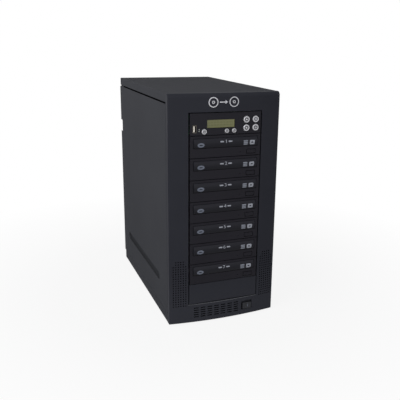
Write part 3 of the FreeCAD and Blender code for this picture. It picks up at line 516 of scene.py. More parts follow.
def dressNodes():  # CAD nodes that stay get the finish of their own slot
    for part in frame["record"]["subparts"]:
        mesh = frame["nodes"][part["node"]].data
        mesh.materials.clear()
        mesh.materials.append(finishes[part["material_slot"]])


dressNodes()


# Camera, lights and floor

shot = Settings(azimuth=-21.74, elevation=16.05, roll=-0.913, distance=1.3463, aim=(0.0718, 0.005, 0.1919),
        lens=51.91, shift=-0.05)


def placeCamera():
    azimuth, elevation, roll = (math.radians(shot[k]) for k in ("azimuth", "elevation", "roll"))
    turn = Matrix.Rotation(azimuth, 3, "Z") @ Matrix.Rotation(upright - elevation, 3, "X")
    deselectAll()
    bpy.ops.object.camera_add(location=Vector(shot.aim) + turn.col[2] * shot.distance)
    camera = bpy.context.object
    camera.rotation_euler = (turn @ Matrix.Rotation(-roll, 3, "Z")).to_euler()
    camera.data.lens = shot.lens
    camera.data.shift_x = shot.shift
    bpy.context.scene.camera = camera


studio = Settings(ambient=0.25, lamps=(
    # name, place, aim, size, power
    ("keySoftbox", (-1.35, -0.75, 1.35), (0, 0, 0.3), 1.1, 23),
    ("frontFill", (-0.2, -2.0, 0.4), (0, 0, 0.06), 1.6, 14),
    ("topFill", (-0.3, 0.3, 2.1), (0, 0, 0.3), 1.6, 0.8),
    ("rearFill", (-1.2, 2.1, 0.9), (0, 0, 0.2), 1.6, 16),
    ("rightFill", (2.1, 0.9, 0.7), (0, 0, 0.2), 1.4, 13),
))
white = (1, 1, 1, 1)


def lightStudio():
    for name, place, aim, size, power in studio.lamps:
        deselectAll()
        bpy.ops.object.light_add(type="AREA", location=place)
        lamp = bpy.context.object
        lamp.name = name
        lamp.rotation_euler = (Vector(aim) - Vector(place)).to_track_quat("-Z", "Y").to_euler()
        lamp.data.size = size
        lamp.data.energy = power
    bpy.context.scene.view_settings.view_transform = "Standard"
    sky = Finish(bpy.context.scene.world or bpy.data.worlds.new("studio"))
    bpy.context.scene.world = sky.owner
    soft = sky.node("Background", {}, {"Color": white, "Strength": studio.ambient})
    backdrop = sky.node("Background", {}, {"Color": white, "Strength": 1.0})
    sky.node("OutputWorld", {}, {"Surface": sky.blend(sky.backdropRays(), soft, backdrop)})


floorPlan = Settings(radius=3.0, fadeFrom=0.3, fadeTo=0.8, paper=(0.5, 0.5, 0.51, 1.0),
        fibre=(0.52, 0.52, 0.525, 1.0), veil=0.89)


def layFloor():  # the veil hides all but the object's shadow
    deselectAll()
    bpy.ops.mesh.primitive_circle_add(vertices=96, radius=floorPlan.radius, fill_type="NGON")
    floor = bpy.context.object
    floor.name = "studioFloor"
    paper = newFinish("paperFloor")
    reach = paper.node("VectorMath", {"operation": "LENGTH"}, {0: paper.place()}, "Value")
    fade = paper.ramp(reach, floorPlan.fadeFrom, floorPlan.fadeTo)
    colour = paper.mix(paper.noise(350, 3.0), floorPlan.paper, floorPlan.fibre)
    lit = paper.node("BsdfDiffuse", {}, {"Color": colour})
    glow = paper.node("Emission", {}, {"Color": white, "Strength": 1.0})
    share = paper.backdropRays() * (floorPlan.veil + fade * (1 - floorPlan.veil))
    paper.node("OutputMaterial", {}, {"Surface": paper.blend(share, lit, glow)})
    paint(floor, paper.owner)


placeCamera()
lightStudio()
layFloor()
print("camera, lights and floor set")


# Front bezel

bezel = inMm(dict(columns=40), bow=8.5, wall=3.0, topRound=8.0, bottomRound=2.0, cornerRound=1.2, sideGap=2.6,
        endGap=0.8, collar=2.2, rim=1.1, bayGap=0.6)
dots = inMm(dict(columns=6, sides=10), radius=1.3, across=4.97, upward=4.96, marginLeft=5.5, marginRight=7.4,
        tall=99.4, arch=16.0, drop=1.9, deep=24.0)
slots = inMm(dict(columns=7, rows=5), width=10.0, tall=1.9, across=14.3, upward=4.82, left=-63.0, drop=9.4,
        deep=22.0, corner=0.5)
recess = inMm(width=25.0, tall=20.0, deep=6.0, corner=3.0, wall=2.0, ramp=1.8, guideWidth=9.6, guideTall=6.6,
        shiftX=1.5, shiftZ=-2.4)

bezelLow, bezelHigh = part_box("front_bezel")
half = bezelHigh.x
bowRadius = (half ** 2 + bezel.bow ** 2) / (2 * bezel.bow)
bowSlack = 0.05 * mm
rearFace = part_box("rear_panel")[1].y
plateLow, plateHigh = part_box("drive_1_bezel")
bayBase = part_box("blank_bay_cover")[0].z - bezel.bayGap / 2
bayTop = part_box("controller_faceplate")[1].z + bezel.bayGap / 2
powerLow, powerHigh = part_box("power_button")
powerSpot = (powerLow + powerHigh) / 2
recessSpot = powerSpot - Vector((recess.shiftX, 0, recess.shiftZ))


def bowY(x, inset=0.0):  # where the bowed front lies at x
    radius = bowRadius - inset
    return bezelLow.y + inset + radius - math.sqrt(radius ** 2 - x ** 2)


def onBow(edge):
    return all(abs(v.co.y - bowY(v.co.x)) < bowSlack for v in edge.verts)


def bowedBlock(name, halfWidth, yBack, inset, low, high):
    crest = bezelLow.y + inset
    block = boxPart(name, (-halfWidth, crest, low), (halfWidth, yBack, high))
    pick(block, "EDGE", lambda e: along(0, e))
    bpy.ops.mesh.subdivide(number_cuts=bezel.columns - 1)
    for column in range(bezel.columns // 2):
        x = halfWidth - column * 2 * halfWidth / bezel.columns
        pick(block, "VERT", lambda v: abs(abs(v.co.x) - x) < hair and abs(v.co.y - crest) < hair)
        bpy.ops.transform.translate(value=(0, bowY(x, inset) - crest, 0))
    deselectAll()
    return block


def dotCutters():
    start = plateHigh.x + bezel.sideGap
    base = bayBase - dots.drop
    columns = []
    for number in range(dots.columns):
        share = (2 * number + 1) / dots.columns - 1
        rows = int((dots.tall - dots.arch * share ** 2) / dots.upward) + 1
        for sign, margin in ((-1, dots.marginLeft), (1, dots.marginRight)):
            x = sign * (start + margin + number * dots.across)
            pin = pinPart("dotPin", dots.radius, x, base, bezelLow.y - over, bezelLow.y + dots.deep,
                    dots.sides)
            columns.append(repeat(pin, rows, (0, 0, dots.upward)))
    return columns


def slotCutters():
    left = slots.left
    top = bayBase - slots.drop + slots.tall / 2
    blade = boxPart("slotBlade", (left, bezelLow.y - over, top - slots.tall),
            (left + slots.width, bezelLow.y + slots.deep, top))
    roundAlong(blade, 1, slots.corner, 2)
    repeat(blade, slots.columns, (slots.across, 0, 0))
    return [repeat(blade, slots.rows, (0, 0, -slots.upward))]


def recessBlock(name, grow, yEnd):
    block = blockPart(name, recessSpot, recess.width / 2 + grow, recess.tall / 2 + grow, bezelLow.y - over,
            yEnd)
    return roundAlong(block, 1, recess.corner + grow, 5)


def frontBezel():
    openHalf = plateHigh.x + bezel.sideGap
    openLow = bayBase - bezel.endGap
    openHigh = bayTop + bezel.endGap
    yLow = bezelLow.y - 2 * over
    yHigh = bezelHigh.y + 3 * over
    shell = bowedBlock("frontBezel", half, bezelHigh.y, 0.0, bezelLow.z, bezelHigh.z)
    roundEdges(shell, lambda e: onBow(e) and level(e, 2, bezelHigh.z), bezel.topRound, 7)
    roundEdges(shell, lambda e: onBow(e) and level(e, 2, bezelLow.z), bezel.bottomRound, 3)
    roundEdges(shell, lambda e: along(2, e) and level(e, 1, bowY(half), bowSlack)
            and abs(middle(e).x) > 0.9 * half, bezel.cornerRound, 2)
    wall = bezel.wall
    hollow = bowedBlock("hollow", half - wall, bezelHigh.y + over, wall, bezelLow.z + wall,
            bezelHigh.z - wall)
    grow = bezel.collar
    carve(hollow, boxPart("collar", (-openHalf - grow, yLow, openLow - grow),
            (openHalf + grow, yHigh, openHigh + grow)))
    floor = bowY(recessSpot.x) + recess.deep
    carve(hollow, recessBlock("cup", recess.wall, floor + recess.wall))
    carve(shell, hollow)
    carve(shell, boxPart("opening", (-openHalf, yLow, openLow), (openHalf, yHigh, openHigh)))
    roundEdges(shell, lambda e: onBow(e) and sharp(e) and abs(middle(e).x) < openHalf + mm
            and openLow - mm < middle(e).z < openHigh + mm, bezel.rim, 2)
    carve(shell, recessBlock("recess", 0.0, floor))
    # the low and right sides of the recess slope
    roundEdges(shell, lambda e: onBow(e) and sharp(e) and middle(e).z < openLow - bezel.wall
            and abs(middle(e).x - recessSpot.x) < recess.width
            and middle(e).x - recessSpot.x > middle(e).z - recessSpot.z, recess.ramp, 3)
    paint(shell, finishes["bezel_plastic"])
    paint(shell, paintedSillHighlight)
    # painted highlight: the sill of the opening is painted lighter, where it catches the light
    pick(shell, "FACE", lambda f: abs(middle(f).z - openLow) < 1.2 * bezel.rim and f.normal.z > 0.25
            and f.normal.y < -0.2 and abs(middle(f).x) < openHalf)
    shell.active_material_index = 1
    bpy.ops.object.material_slot_assign()
    guide = blockPart("guide", powerSpot, recess.guideWidth / 2, recess.guideTall / 2, yLow, bezelHigh.y)
    # the walls of the dots, slots and guide hole are painted dark: painted shade
    carve(shell, paint(joinParts("holes", [guide] + dotCutters() + slotCutters()), paintedShade))
    return finishPart(shell, "case", "bezel_plastic", ["front_bezel"])


bezelShell = frontBezel()
print("front bezel", len(bezelShell.data.polygons), "faces")


# Case sheets

nearlyRound = 0.98  # share of half a width that a round end takes
cover = inMm(sheet=1.0, fold=1.5, rearFold=0.9, lip=10.0, hemLap=8.6, hemIn=1.2, hemFront=16.0, hemGap=15.0,
        hemEdge=0.2, nest=0.2, seam=2.6, lining=0.1, liningIn=1.0)


def topCover():
    low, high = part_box("top_cover")
    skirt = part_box("left_side_panel")[1].z + cover.seam
    hemBase = skirt - cover.hemLap
    lipBase = high.z - cover.lip
    lid = boxPart("topCover", (low.x, low.y, skirt), high)
    roundEdges(lid, lambda e: level(e, 2, high.z) and not along(0, e), cover.fold, 4)
    roundEdges(lid, lambda e: level(e, 1, high.y) and along(0, e) and level(e, 2, high.z), cover.rearFold, 3)
    pick(lid, "VERT")
    bpy.ops.mesh.remove_doubles(threshold=hair)
    pick(lid, "FACE", lambda f: faces(f, 1, 1))
    bpy.ops.mesh.bisect(plane_co=(0, 0, lipBase), plane_no=(0, 0, 1))
    dropFaces(lid, lambda f: faces(f, 2, -1) or faces(f, 1, -1) or (faces(f, 1, 1) and middle(f).z < lipBase))
    thicken(lid, cover.sheet)
    strips = [paint(lid, finishes["case_paint"])]
    runs = ((low.y + cover.hemFront, rearFace - cover.hemGap), (rearFace + cover.nest, high.y - cover.sheet))
    for outer in (-high.x + cover.hemIn, high.x - cover.hemIn - cover.sheet):
        for start, end in runs:  # the hem is broken where the rear panel's fold stands
            strip = boxPart("hem", (outer, start, hemBase), (outer + cover.sheet, end, high.z - cover.sheet))
            paint(strip, paintedShade)  # painted shade: the hem is painted black so that the seam reads as a black line
            strips.append(roundAlong(strip, 1, cover.hemEdge, 1))
    inner = high.x - cover.sheet - cover.lining
    front = low.y + cover.liningIn
    for x in (-inner, inner):  # a thin dark sheet of painted shade that closes the seam in front of the hem
        shadeSheet = boxPart("shadeSheet", (x - cover.lining / 2, front, hemBase),
                (x + cover.lining / 2, front + cover.hemFront, high.z - cover.fold))
        strips.append(paint(shadeSheet, paintedShade))
    return finishPart(joinParts("topCover", strips), "case", "case_paint", ["top_cover"])


side = inMm(sheet=1.0, edge=0.4, ease=0.9, corner=3.0, grooveFrom=71.0, grooveLong=275.0, grooveTall=15.5,
        grooveDeep=5.0, grooveRise=75.5, grooveMouth=2.2, grooveFloor=0.7, notchRise=330.0, notchTall=28.0,
        notchIn=14.0, tabWide=14.0, tabTall=16.0, screwHole=2.1, screwHead=6.0)


def screwHeights():
    low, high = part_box("side_thumbscrews")
    return low.z + side.screwHead, high.z - side.screwHead


def grooveBlock(name, grow, xLow, xHigh):
    front = bowY(half) + side.grooveFrom - grow
    back = front + side.grooveLong + 2 * grow
    centre = bezelLow.z + side.grooveRise
    tall = side.grooveTall / 2 + grow
    block = boxPart(name, (xLow, front, centre - tall), (xHigh, back, centre + tall))
    return roundAlong(block, 0, tall * nearlyRound, 9)


def leftPanel():
    low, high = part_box("left_side_panel")
    sheet = side.sheet
    inside = low.x + sheet
    panel = boxPart("leftSidePanel", (low.x, low.y + side.ease, low.z), (inside, high.y, high.z - side.ease))
    roundLevel(panel, 0, low.x, side.edge, 2)
    carve(panel, grooveBlock("ridge", sheet, inside - 0.5 * sheet, inside + side.grooveDeep), "UNION")
    floor = inside + side.grooveDeep - sheet
    paint(panel, finishes["case_paint"])
    # the groove's walls are painted darker: painted shade
    carve(panel, paint(grooveBlock("groove", 0.0, low.x - over, floor), paintedGrooveShade))
    centre = bezelLow.z + side.grooveRise
    roundEdges(panel, lambda e: level(e, 0, low.x) and abs(middle(e).z - centre) < side.grooveTall
            and sharp(e), side.grooveMouth, 4)
    roundEdges(panel, lambda e: level(e, 0, floor) and sharp(e, 0.5), side.grooveFloor, 2)
    notch = bezelLow.z + side.notchRise
    mouth = boxPart("notch", (low.x - over, high.y - side.notchIn, notch),
            (inside + over, high.y + over, notch + side.notchTall))
    carve(panel, roundAlong(mouth, 0, side.corner, 4))
    hole = inside + side.tabWide / 2
    for z in screwHeights():
        tab = boxPart("tab", (inside - 0.3 * sheet, rearFace, z - side.tabTall / 2),
                (inside + side.tabWide, rearFace + sheet, z + side.tabTall / 2))
        roundEdges(tab, lambda e: along(1, e) and middle(e).x > inside + mm, side.corner, 4)
        carve(tab, pinPart("hole", side.screwHole, hole, z, rearFace - over, rearFace + 3 * over, 20))
        carve(panel, tab, "UNION")
    return panel


def sidePanels():
    left = leftPanel()
    right = mirrorPart(left, "rightSidePanel")
    finishPart(left, "case", "case_paint", ["left_side_panel"])
    finishPart(right, "case", "case_paint", ["right_side_panel"])


pan = inMm(sheet=1.0, fold=1.0, lip=10.0, lipEdge=0.4, railWide=8.0, railAt=60.0, railEdge=0.6)


def basePan():
    low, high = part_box("base_pan")
    psuLow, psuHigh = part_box("psu_case")
    sheet = pan.sheet
    tray = boxPart("basePan", low, high)
    roundLevel(tray, 2, low.z, pan.fold, 3)
    dropFaces(tray, lambda f: faces(f, 2, 1) or faces(f, 1, 1))
    thicken(tray, sheet)
    lipTop = low.z + pan.lip
    lip = boxPart("lip", (low.x + sheet, rearFace, low.z + sheet / 2),
            (high.x - sheet, rearFace + sheet, lipTop))
    parts = [tray, roundEdges(lip, lambda e: level(e, 2, lipTop) and along(0, e), pan.lipEdge, 2)]
    for x in (-pan.railAt, pan.railAt):
        rail = boxPart("rail", (x - pan.railWide / 2, psuLow.y, low.z + sheet),
                (x + pan.railWide / 2, psuHigh.y, psuLow.z))
        parts.append(roundAlong(rail, 1, pan.railEdge, 2))
    return finishPart(joinParts("basePan", parts), "case", "case_paint", ["base_pan"])


rear = inMm(dict(ventRows=10, ventColumns=4), sheet=1.0, fold=1.2, windowIn=3.0, windowCorner=2.0,
        fanWall=3.0, fanGap=1.5, screwInset=7.5, screwHole=1.7, ventLong=30.0, ventTall=4.0, ventCorner=1.92,
        ventAcross=42.0, ventUp=12.0, ventGap=40.0)


def rearPanel():
    low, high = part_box("rear_panel")
    psuLow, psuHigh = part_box("psu_case")
    fanLow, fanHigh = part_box("rear_fan_rotor")
    span = (high.y - 4 * over, high.y + 4 * over)
    panel = boxPart("rearPanel", low, high)
    roundEdges(panel, lambda e: along(2, e) and level(e, 1, high.y), rear.fold, 3)
    dropFaces(panel, lambda f: faces(f, 2, 1) or faces(f, 2, -1) or faces(f, 1, -1))
    thicken(panel, rear.sheet)
    inset = rear.windowIn
    window = boxPart("window", (psuLow.x + inset, span[0], psuLow.z + inset),
            (psuHigh.x - inset, span[1], psuHigh.z - inset))
    cutters = [roundAlong(window, 1, rear.windowCorner, 3)]
    centre = (fanLow + fanHigh) / 2
    reach = (fanHigh.x - fanLow.x) / 2 + rear.fanWall + rear.fanGap
    cutters.append(pinPart("fanHole", reach - rear.fanWall, centre.x, centre.z, *span, 64))
    offset = reach - rear.screwInset
    for dx in (-offset, offset):
        for dz in (-offset, offset):
            cutters.append(pinPart("screwHole", rear.screwHole, centre.x + dx, centre.z + dz, *span, 14))
    left = -(rear.ventColumns - 1) / 2 * rear.ventAcross - rear.ventLong / 2
    base = centre.z + reach + rear.ventGap - rear.ventTall / 2
    vent = boxPart("vent", (left, span[0], base), (left + rear.ventLong, span[1], base + rear.ventTall))
    roundAlong(vent, 1, rear.ventCorner, 4)
    repeat(vent, rear.ventColumns, (rear.ventAcross, 0, 0))
    cutters.append(repeat(vent, rear.ventRows, (0, 0, rear.ventUp)))
    carve(panel, joinParts("holes", cutters))
    return finishPart(panel, "case", "case_paint", ["rear_panel"])


topCover()
sidePanels()
basePan()
rearPanel()
print("case sheets done")


# Bay fronts

front = inMm(edge=0.6, gap=0.3, rim=0.25, shy=0.2, fit=0.2)
door = inMm(dict(rows=11), edge=0.5, wellEdge=0.5, swell=1.9, gap=0.6, thick=4.0, proud=0.3)
carrier = inMm(wide=127.0, thick=7.5, drop=8.2, corner=4.0, lap=0.2, well=60.75, wellDeep=4.2, small=40.5,
        smallDeep=1.2, slot=18.0, slotLong=62.0, margin=6.25)
eject = inMm(flange=1.0, proud=0.6, thick=1.0, gap=0.75, corner=0.8, lap=0.1, pinhole=0.7, pinholeAt=30.0)
blank = inMm(legOut=71.0, legThick=2.0, legTall=15.0, legCorner=3.0, lap=0.5)


def frontPlate(name, low, high, cutters):
    shy = Vector((0, 0, front.shy))
    plate = boxPart(name, low + shy, high - shy)
    roundLevel(plate, 1, low.y, front.edge, 3)
    paint(plate, finishes["drive_plastic"])
    # the walls of the cutouts are painted dark: painted shade in the gaps around doors, keys and windows
    carve(plate, paint(joinParts("cutouts", cutters), paintedShade))
    return roundEdges(plate, lambda e: level(e, 1, low.y) and sharp(e, 1.2), front.rim, 2)


def blockCutter(box, grow, yLow, yHigh):
    low, high = box
    return boxPart("cutter", (low.x - grow, yLow, low.z - grow), (high.x + grow, yHigh, high.z + grow))


def driveBezels():
    span = (plateLow.y - over, plateHigh.y + over)
    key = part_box("drive_1_eject_button")
    plate = frontPlate("drive1Bezel", plateLow, plateHigh, [
        blockCutter(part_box("drive_1_tray"), door.gap, *span),
        blockCutter(key, eject.gap - eject.flange, *span),
        pinPart("pinhole", eject.pinhole, eject.pinholeAt, (key[0].z + key[1].z) / 2, *span, 16)])
    return perDrive(plate, "drive{}Bezel", "drive_{}_bezel", "case", "drive_plastic")


def swellDoor(leaf, low, high):  # the door's face is slightly rounded from top to bottom
    base = low.z + door.edge
    tall = high.z - low.z - 2 * door.edge
    shares = [row / (door.rows + 1) for row in range(1, door.rows + 1)]
    for share in shares:
        pick(leaf, "FACE", lambda f: level(f, 1, low.y) and faces(f, 1, -1))
        bpy.ops.mesh.bisect(plane_co=(0, 0, base + tall * share), plane_no=(0, 0, 1))
    for share in shares:
        z = base + tall * share
        pick(leaf, "VERT", lambda v: abs(v.co.z - z) < hair and abs(v.co.y - low.y) < hair)
        bpy.ops.transform.translate(value=(0, -door.swell * (1 - (2 * share - 1) ** 2), 0))
    deselectAll()


def discTrays():
    low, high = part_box("drive_1_tray")
    plan = carrier
    back = low.y + door.proud + door.thick
    leaf = boxPart("drive1Tray", low, (high.x, back, high.z))
    roundLevel(leaf, 1, low.y, door.edge, 3)
    swellDoor(leaf, low, high)
    top = high.z - plan.drop
    plate = boxPart("carrier", (-plan.wide / 2, back - plan.lap, top - plan.thick),
            (plan.wide / 2, high.y, top))
    roundEdges(plate, lambda e: along(2, e) and level(e, 1, high.y), plan.corner, 5)
    spindle = back + plan.margin + plan.well
    floor = top - plan.wellDeep
    carve(plate, rodPart("well", plan.well, (0, spindle, floor), (0, spindle, top + over), 96))
    carve(plate, rodPart("smallWell", plan.small, (0, spindle, floor - plan.smallDeep),
            (0, spindle, floor + over), 72))
    slot = boxPart("slot", (-plan.slot, spindle - plan.slot, top - 2 * plan.thick),
            (plan.slot, spindle + plan.slotLong, top + over))
    roundEdges(slot, lambda e: along(2, e) and middle(e).y < spindle, plan.slot * nearlyRound, 10)
    carve(plate, slot)
    roundEdges(plate, lambda e: level(e, 2, top) and sharp(e), door.wellEdge, 2)
    carve(leaf, plate, "UNION")
    return perDrive(leaf, "drive{}Tray", "drive_{}_tray", "drive_{}_tray", "tray_plastic")


def ejectButtons():
    low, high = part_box("drive_1_eject_button")
    rim = eject.flange
    back = high.y - eject.thick
    key = boxPart("drive1Eject", (low.x + rim, low.y, low.z + rim), (high.x - rim, back, high.z - rim))
    roundAlong(key, 1, eject.corner, 3)
    roundLevel(key, 1, low.y, eject.proud, 3)
    carve(key, boxPart("flange", (low.x, back - eject.lap, low.z), high), "UNION")
    return perDrive(key, "drive{}Eject", "drive_{}_eject_button", "drive_{}_eject", "drive_plastic")


def blankCover():
    low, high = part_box("blank_bay_cover")
    shy = front.shy
    plate = boxPart("blankBayCover", (low.x, low.y, low.z + shy), (high.x, plateHigh.y, high.z - shy))
    roundLevel(plate, 1, low.y, front.edge, 3)
    centre = (low.z + high.z) / 2
    for x in (-blank.legOut, blank.legOut - blank.legThick):
        leg = boxPart("leg", (x, plateHigh.y - blank.lap, centre - blank.legTall),
                (x + blank.legThick, high.y, centre + blank.legTall))
        roundEdges(leg, lambda e: along(0, e) and middle(e).y > plateHigh.y, blank.legCorner, 3)
        carve(plate, leg, "UNION")
    return finishPart(plate, "case", "bezel_plastic", ["blank_bay_cover"])


driveBezels()
trays = discTrays()
ejectButtons()
blankCover()
print("bay fronts, trays and eject buttons done")


# Printed marks, flat pieces that face the front

def inkMark(mark, ink, ring):
    if ring:
        pick(mark, "FACE")
        bpy.ops.mesh.inset(thickness=ring)
        bpy.ops.mesh.delete(type="FACE")
    deselectAll()
    return paint(mark, ink)


def discMark(x, z, y, wide, tall, ink, ring=0.0, sides=40, turn=0.0):
    deselectAll()
    bpy.ops.mesh.primitive_circle_add(vertices=sides, radius=0.5, fill_type="NGON", location=(x, y, z),
            rotation=(upright, turn, 0))
    return inkMark(settle("disc", (wide, tall, 1)), ink, ring)


def barMark(x, z, y, wide, tall, ink, ring=0.0):
    deselectAll()
    bpy.ops.mesh.primitive_plane_add(size=1, location=(x, y, z), rotation=(upright, 0, 0))
    mark = settle("bar", (wide, tall, 1))
    pick(mark, "VERT")
    bpy.ops.mesh.bevel(offset=min(wide, tall) * 0.22, segments=3, affect="VERTICES")
    return inkMark(mark, ink, ring)


def numberMark(text, x, z, y, size, widen, ink):
    deselectAll()
    bpy.ops.object.text_add(location=(x, y, z), rotation=(upright, 0, 0))
    mark = bpy.context.object
    mark.data.body = text
    mark.data.size = size
    mark.data.align_x = "CENTER"
    mark.data.align_y = "CENTER"
    bpy.ops.object.convert(target="MESH")
    mark = settle("number", (widen, 1, 1))
    pick(mark, "VERT")
    bpy.ops.mesh.remove_doubles(threshold=0.005 * mm)
    return inkMark(mark, ink, 0.0)


def layOn(sheet, ground, step=1.2 * mm):  # marks follow the curve of the face that they are printed on
    heights = [v.co.z for v in sheet.data.vertices]
    for row in range(1, int((max(heights) - min(heights)) / step) + 1):
        pick(sheet, "FACE")
        bpy.ops.mesh.bisect(plane_co=(0, 0, min(heights) + row * step), plane_no=(0, 0, 1))
    deselectAll()
    modify(sheet, "SHRINKWRAP", target=ground, wrap_method="PROJECT", use_project_y=True,
            use_positive_direction=True)


def finishMarks(name, marks, body, thick, ground=None, slot=None):
    sheet = joinParts(name, marks)
    if ground:
        layOn(sheet, ground)
    thicken(sheet, thick, 1.0)
    return finishPart(sheet, body, slot)


# Controller

cap = inMm(dict(rimShare=0.12), flange=0.7, flangeThick=1.0, stem=1.5, edge=0.8, slope=0.3, dish=0.22,
        slim=0.6, lap=0.2)  # slim leaves a dark gap around the cap
buttonNames = ("up", "enter", "down", "escape", "stop", "copy", "verify")


def buttonSpot(name):  # centre, radius of the solid's cap, front and back
    low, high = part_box(name + "_button")
    return (low + high) / 2, (high.x - low.x) / 2 - cap.flange, low.y, high.y


def controllerPlate():
    low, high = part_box("controller_faceplate")
    span = (low.y - over, high.y + over)
    cutters = [blockCutter(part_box(node), front.fit, *span) for node in ("lcd_window", "usb_socket")]
    ledLow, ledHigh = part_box("status_leds")
    radius = (ledHigh.x - ledLow.x) / 2
    for z in (ledLow.z + radius, ledHigh.z - radius):
        cutters.append(pinPart("ledHole", radius + front.fit, (ledLow.x + ledHigh.x) / 2, z, *span, 20))
    for name in buttonNames:
        centre, radius, yFace, yEnd = buttonSpot(name)
        cutters.append(pinPart("buttonHole", radius + front.gap, centre.x, centre.z, *span, 48))
    plate = frontPlate("controllerPlate", low, high, cutters)
    return finishPart(plate, "case", "drive_plastic", ["controller_faceplate"])


def buttonCap(name):
    centre, radius, yFace, yEnd = buttonSpot(name)
    x, z = centre.x, centre.z
    yBack = plateHigh.y + front.gap
    yFlange = yBack + cap.flangeThick
    slim = radius - cap.slim
    knob = pinPart(name + "Button", slim, x, z, yFace, yBack, 48)
    roundLevel(knob, 1, yFace, cap.edge, 4)
    sinkFace(knob, 1, yFace, slim * cap.rimShare, cap.slope, cap.dish)
    carve(knob, pinPart("flange", radius + cap.flange, x, z, yBack - cap.lap, yFlange, 48), "UNION")
    return carve(knob, pinPart("stem", cap.stem, x, z, yFlange - cap.lap, yEnd, 16), "UNION")


def panelButtons():
    models = {}
    knobs = {}
    for name in buttonNames:
        centre, radius, yFace, yEnd = buttonSpot(name)
        size = round(radius / mm, 1)
        if size in models:
            first = buttonSpot(models[size])[0]
            knobs[name] = copyPart(knobs[models[size]], name + "Button", centre - first)
        else:
            models[size] = name
            knobs[name] = buttonCap(name)
    for name, knob in knobs.items():
        finishPart(knob, name + "_button", "silver_plastic", [name + "_button"])


def displayWindow():
    low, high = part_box("lcd_window")
    pane = boxPart("lcdWindow", low, high)
    roundLevel(pane, 1, low.y, lcd.edge, 2)
    sinkFace(pane, 1, low.y, lcd.rim, lcd.slope, lcd.sink)
    return finishPart(pane, "case", "display_glass", ["lcd_window"])


usb = inMm(dict(contacts=4), rim=1.0, corner=0.9, edge=0.25, shellWide=5.7, shellTall=13.1, wall=0.4,
        deep=12.0, tongue=2.4, tongueIn=0.1, tongueShort=0.7, tongueEdge=0.3, sink=0.15, pitch=2.5,
        contactTall=1.0, contactFrom=1.6, contactTo=10.0, contactLap=0.05, contactProud=0.12)


def usbSocket():
    low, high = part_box("usb_socket")
    centre = (low + high) / 2
    wide = usb.shellWide / 2
    tall = usb.shellTall / 2
    end = low.y + usb.deep
    shell = boxPart("usbSocket", low, (high.x, low.y + usb.rim, high.z))
    roundAlong(shell, 1, usb.corner, 3)
    roundLevel(shell, 1, low.y, usb.edge, 2)
    carve(shell, blockPart("can", centre, wide, tall, low.y + usb.rim / 2, high.y), "UNION")
    wide = wide - usb.wall
    tall = tall - usb.wall
    paint(shell, socketShell)
    # the walls of the bore are painted dark: painted shade
    carve(shell, paint(blockPart("bore", centre, wide, tall, low.y - over, end), paintedShade))
    left = centre.x - wide + usb.tongueIn
    right = left + usb.tongue
    reach = tall - usb.tongueShort
    tip = low.y + usb.sink
    tongue = boxPart("usbTongue", (left, tip, centre.z - reach), (right, end, centre.z + reach))
    roundLevel(tongue, 1, tip, usb.tongueEdge, 2)
    strips = [paint(tongue, creamPlastic)]
    for number in range(usb.contacts):
        z = centre.z + (number - (usb.contacts - 1) / 2) * usb.pitch
        strip = boxPart("contact", (right - usb.contactLap, low.y + usb.contactFrom, z - usb.contactTall / 2),
                (right + usb.contactProud, low.y + usb.contactTo, z + usb.contactTall / 2))
        strips.append(paint(strip, finishes["bright_metal"]))
    finishPart(joinParts("usbTongue", strips), "case")
    return finishPart(shell, "case", "bright_metal", ["usb_socket"])


press = inMm(edge=0.8, corner=2.5, deep=4.2, rim=0.8, slope=0.5, dish=0.25, stemWide=9.0, stemTall=6.0,
        lap=0.3, lightAt=1.5, lightWide=0.9, lightTall=6.0, lightThick=0.15)


def powerButton():
    low, high = powerLow, powerHigh
    back = low.y + press.deep
    key = boxPart("powerButton", low, (high.x, back, high.z))
    roundAlong(key, 1, press.corner, 4)
    roundLevel(key, 1, low.y, press.edge, 3)
    sinkFace(key, 1, low.y, press.rim, press.slope, press.dish)
    stem = blockPart("stem", powerSpot, press.stemWide / 2, press.stemTall / 2, back - press.lap, high.y)
    carve(key, stem, "UNION")
    finishPart(paint(key, keyPlastic), "power_button", "bezel_plastic", ["power_button"])
    # a pale bar mark on the cap, right of its centre
    paleBar = barMark(powerSpot.x + press.lightAt, powerSpot.z, low.y + press.dish, press.lightWide,
            press.lightTall, dimInk)
    return finishMarks("powerPaleBar", [paleBar], "power_button", press.lightThick)


sign = inMm(dict(disc=1.24, boldRing=0.34, ring=0.22, arrow=0.6, dot=0.5), lift=0.06, thick=0.08)
signBars = {  # wide, tall and rise of each bar; the sizes of signs are shares of the cap's radius
    "enter": ((0.7, 0.18, 0.0),),
    "escape": ((0.7, 0.16, -0.2), (0.7, 0.16, 0.2)),
    "stop": ((0.42, 0.42, 0.0),),
}


def buttonSigns():
    for name in buttonNames:
        centre, radius, yFace, yEnd = buttonSpot(name)
        radius = radius - cap.slim
        x, y, z = centre.x, yFace + cap.dish, centre.z
        pointed = name in ("up", "down")
        ring = radius * (sign.boldRing if pointed else sign.ring)
        marks = [discMark(x, z, y, radius * sign.disc, radius * sign.disc, darkInk, ring)]
        for wide, tall, rise in signBars.get(name, ()):
            marks.append(barMark(x, z + radius * rise, y, radius * wide, radius * tall, darkInk))
        if pointed:
            size = radius * sign.arrow
            turn = 0.0 if name == "up" else math.pi
            marks.append(discMark(x, z, y - sign.lift, size, size, paleInk, 0.0, 3, turn))
        elif name not in signBars:
            marks.append(discMark(x, z, y, radius * sign.dot, radius * sign.dot, darkInk))
        finishMarks(name + "Sign", marks, name + "_button", sign.thick)


controllerPlate()
panelButtons()
displayWindow()
usbSocket()
powerButton()
buttonSigns()
print("controller and buttons done")


# Marks on the doors and on the head

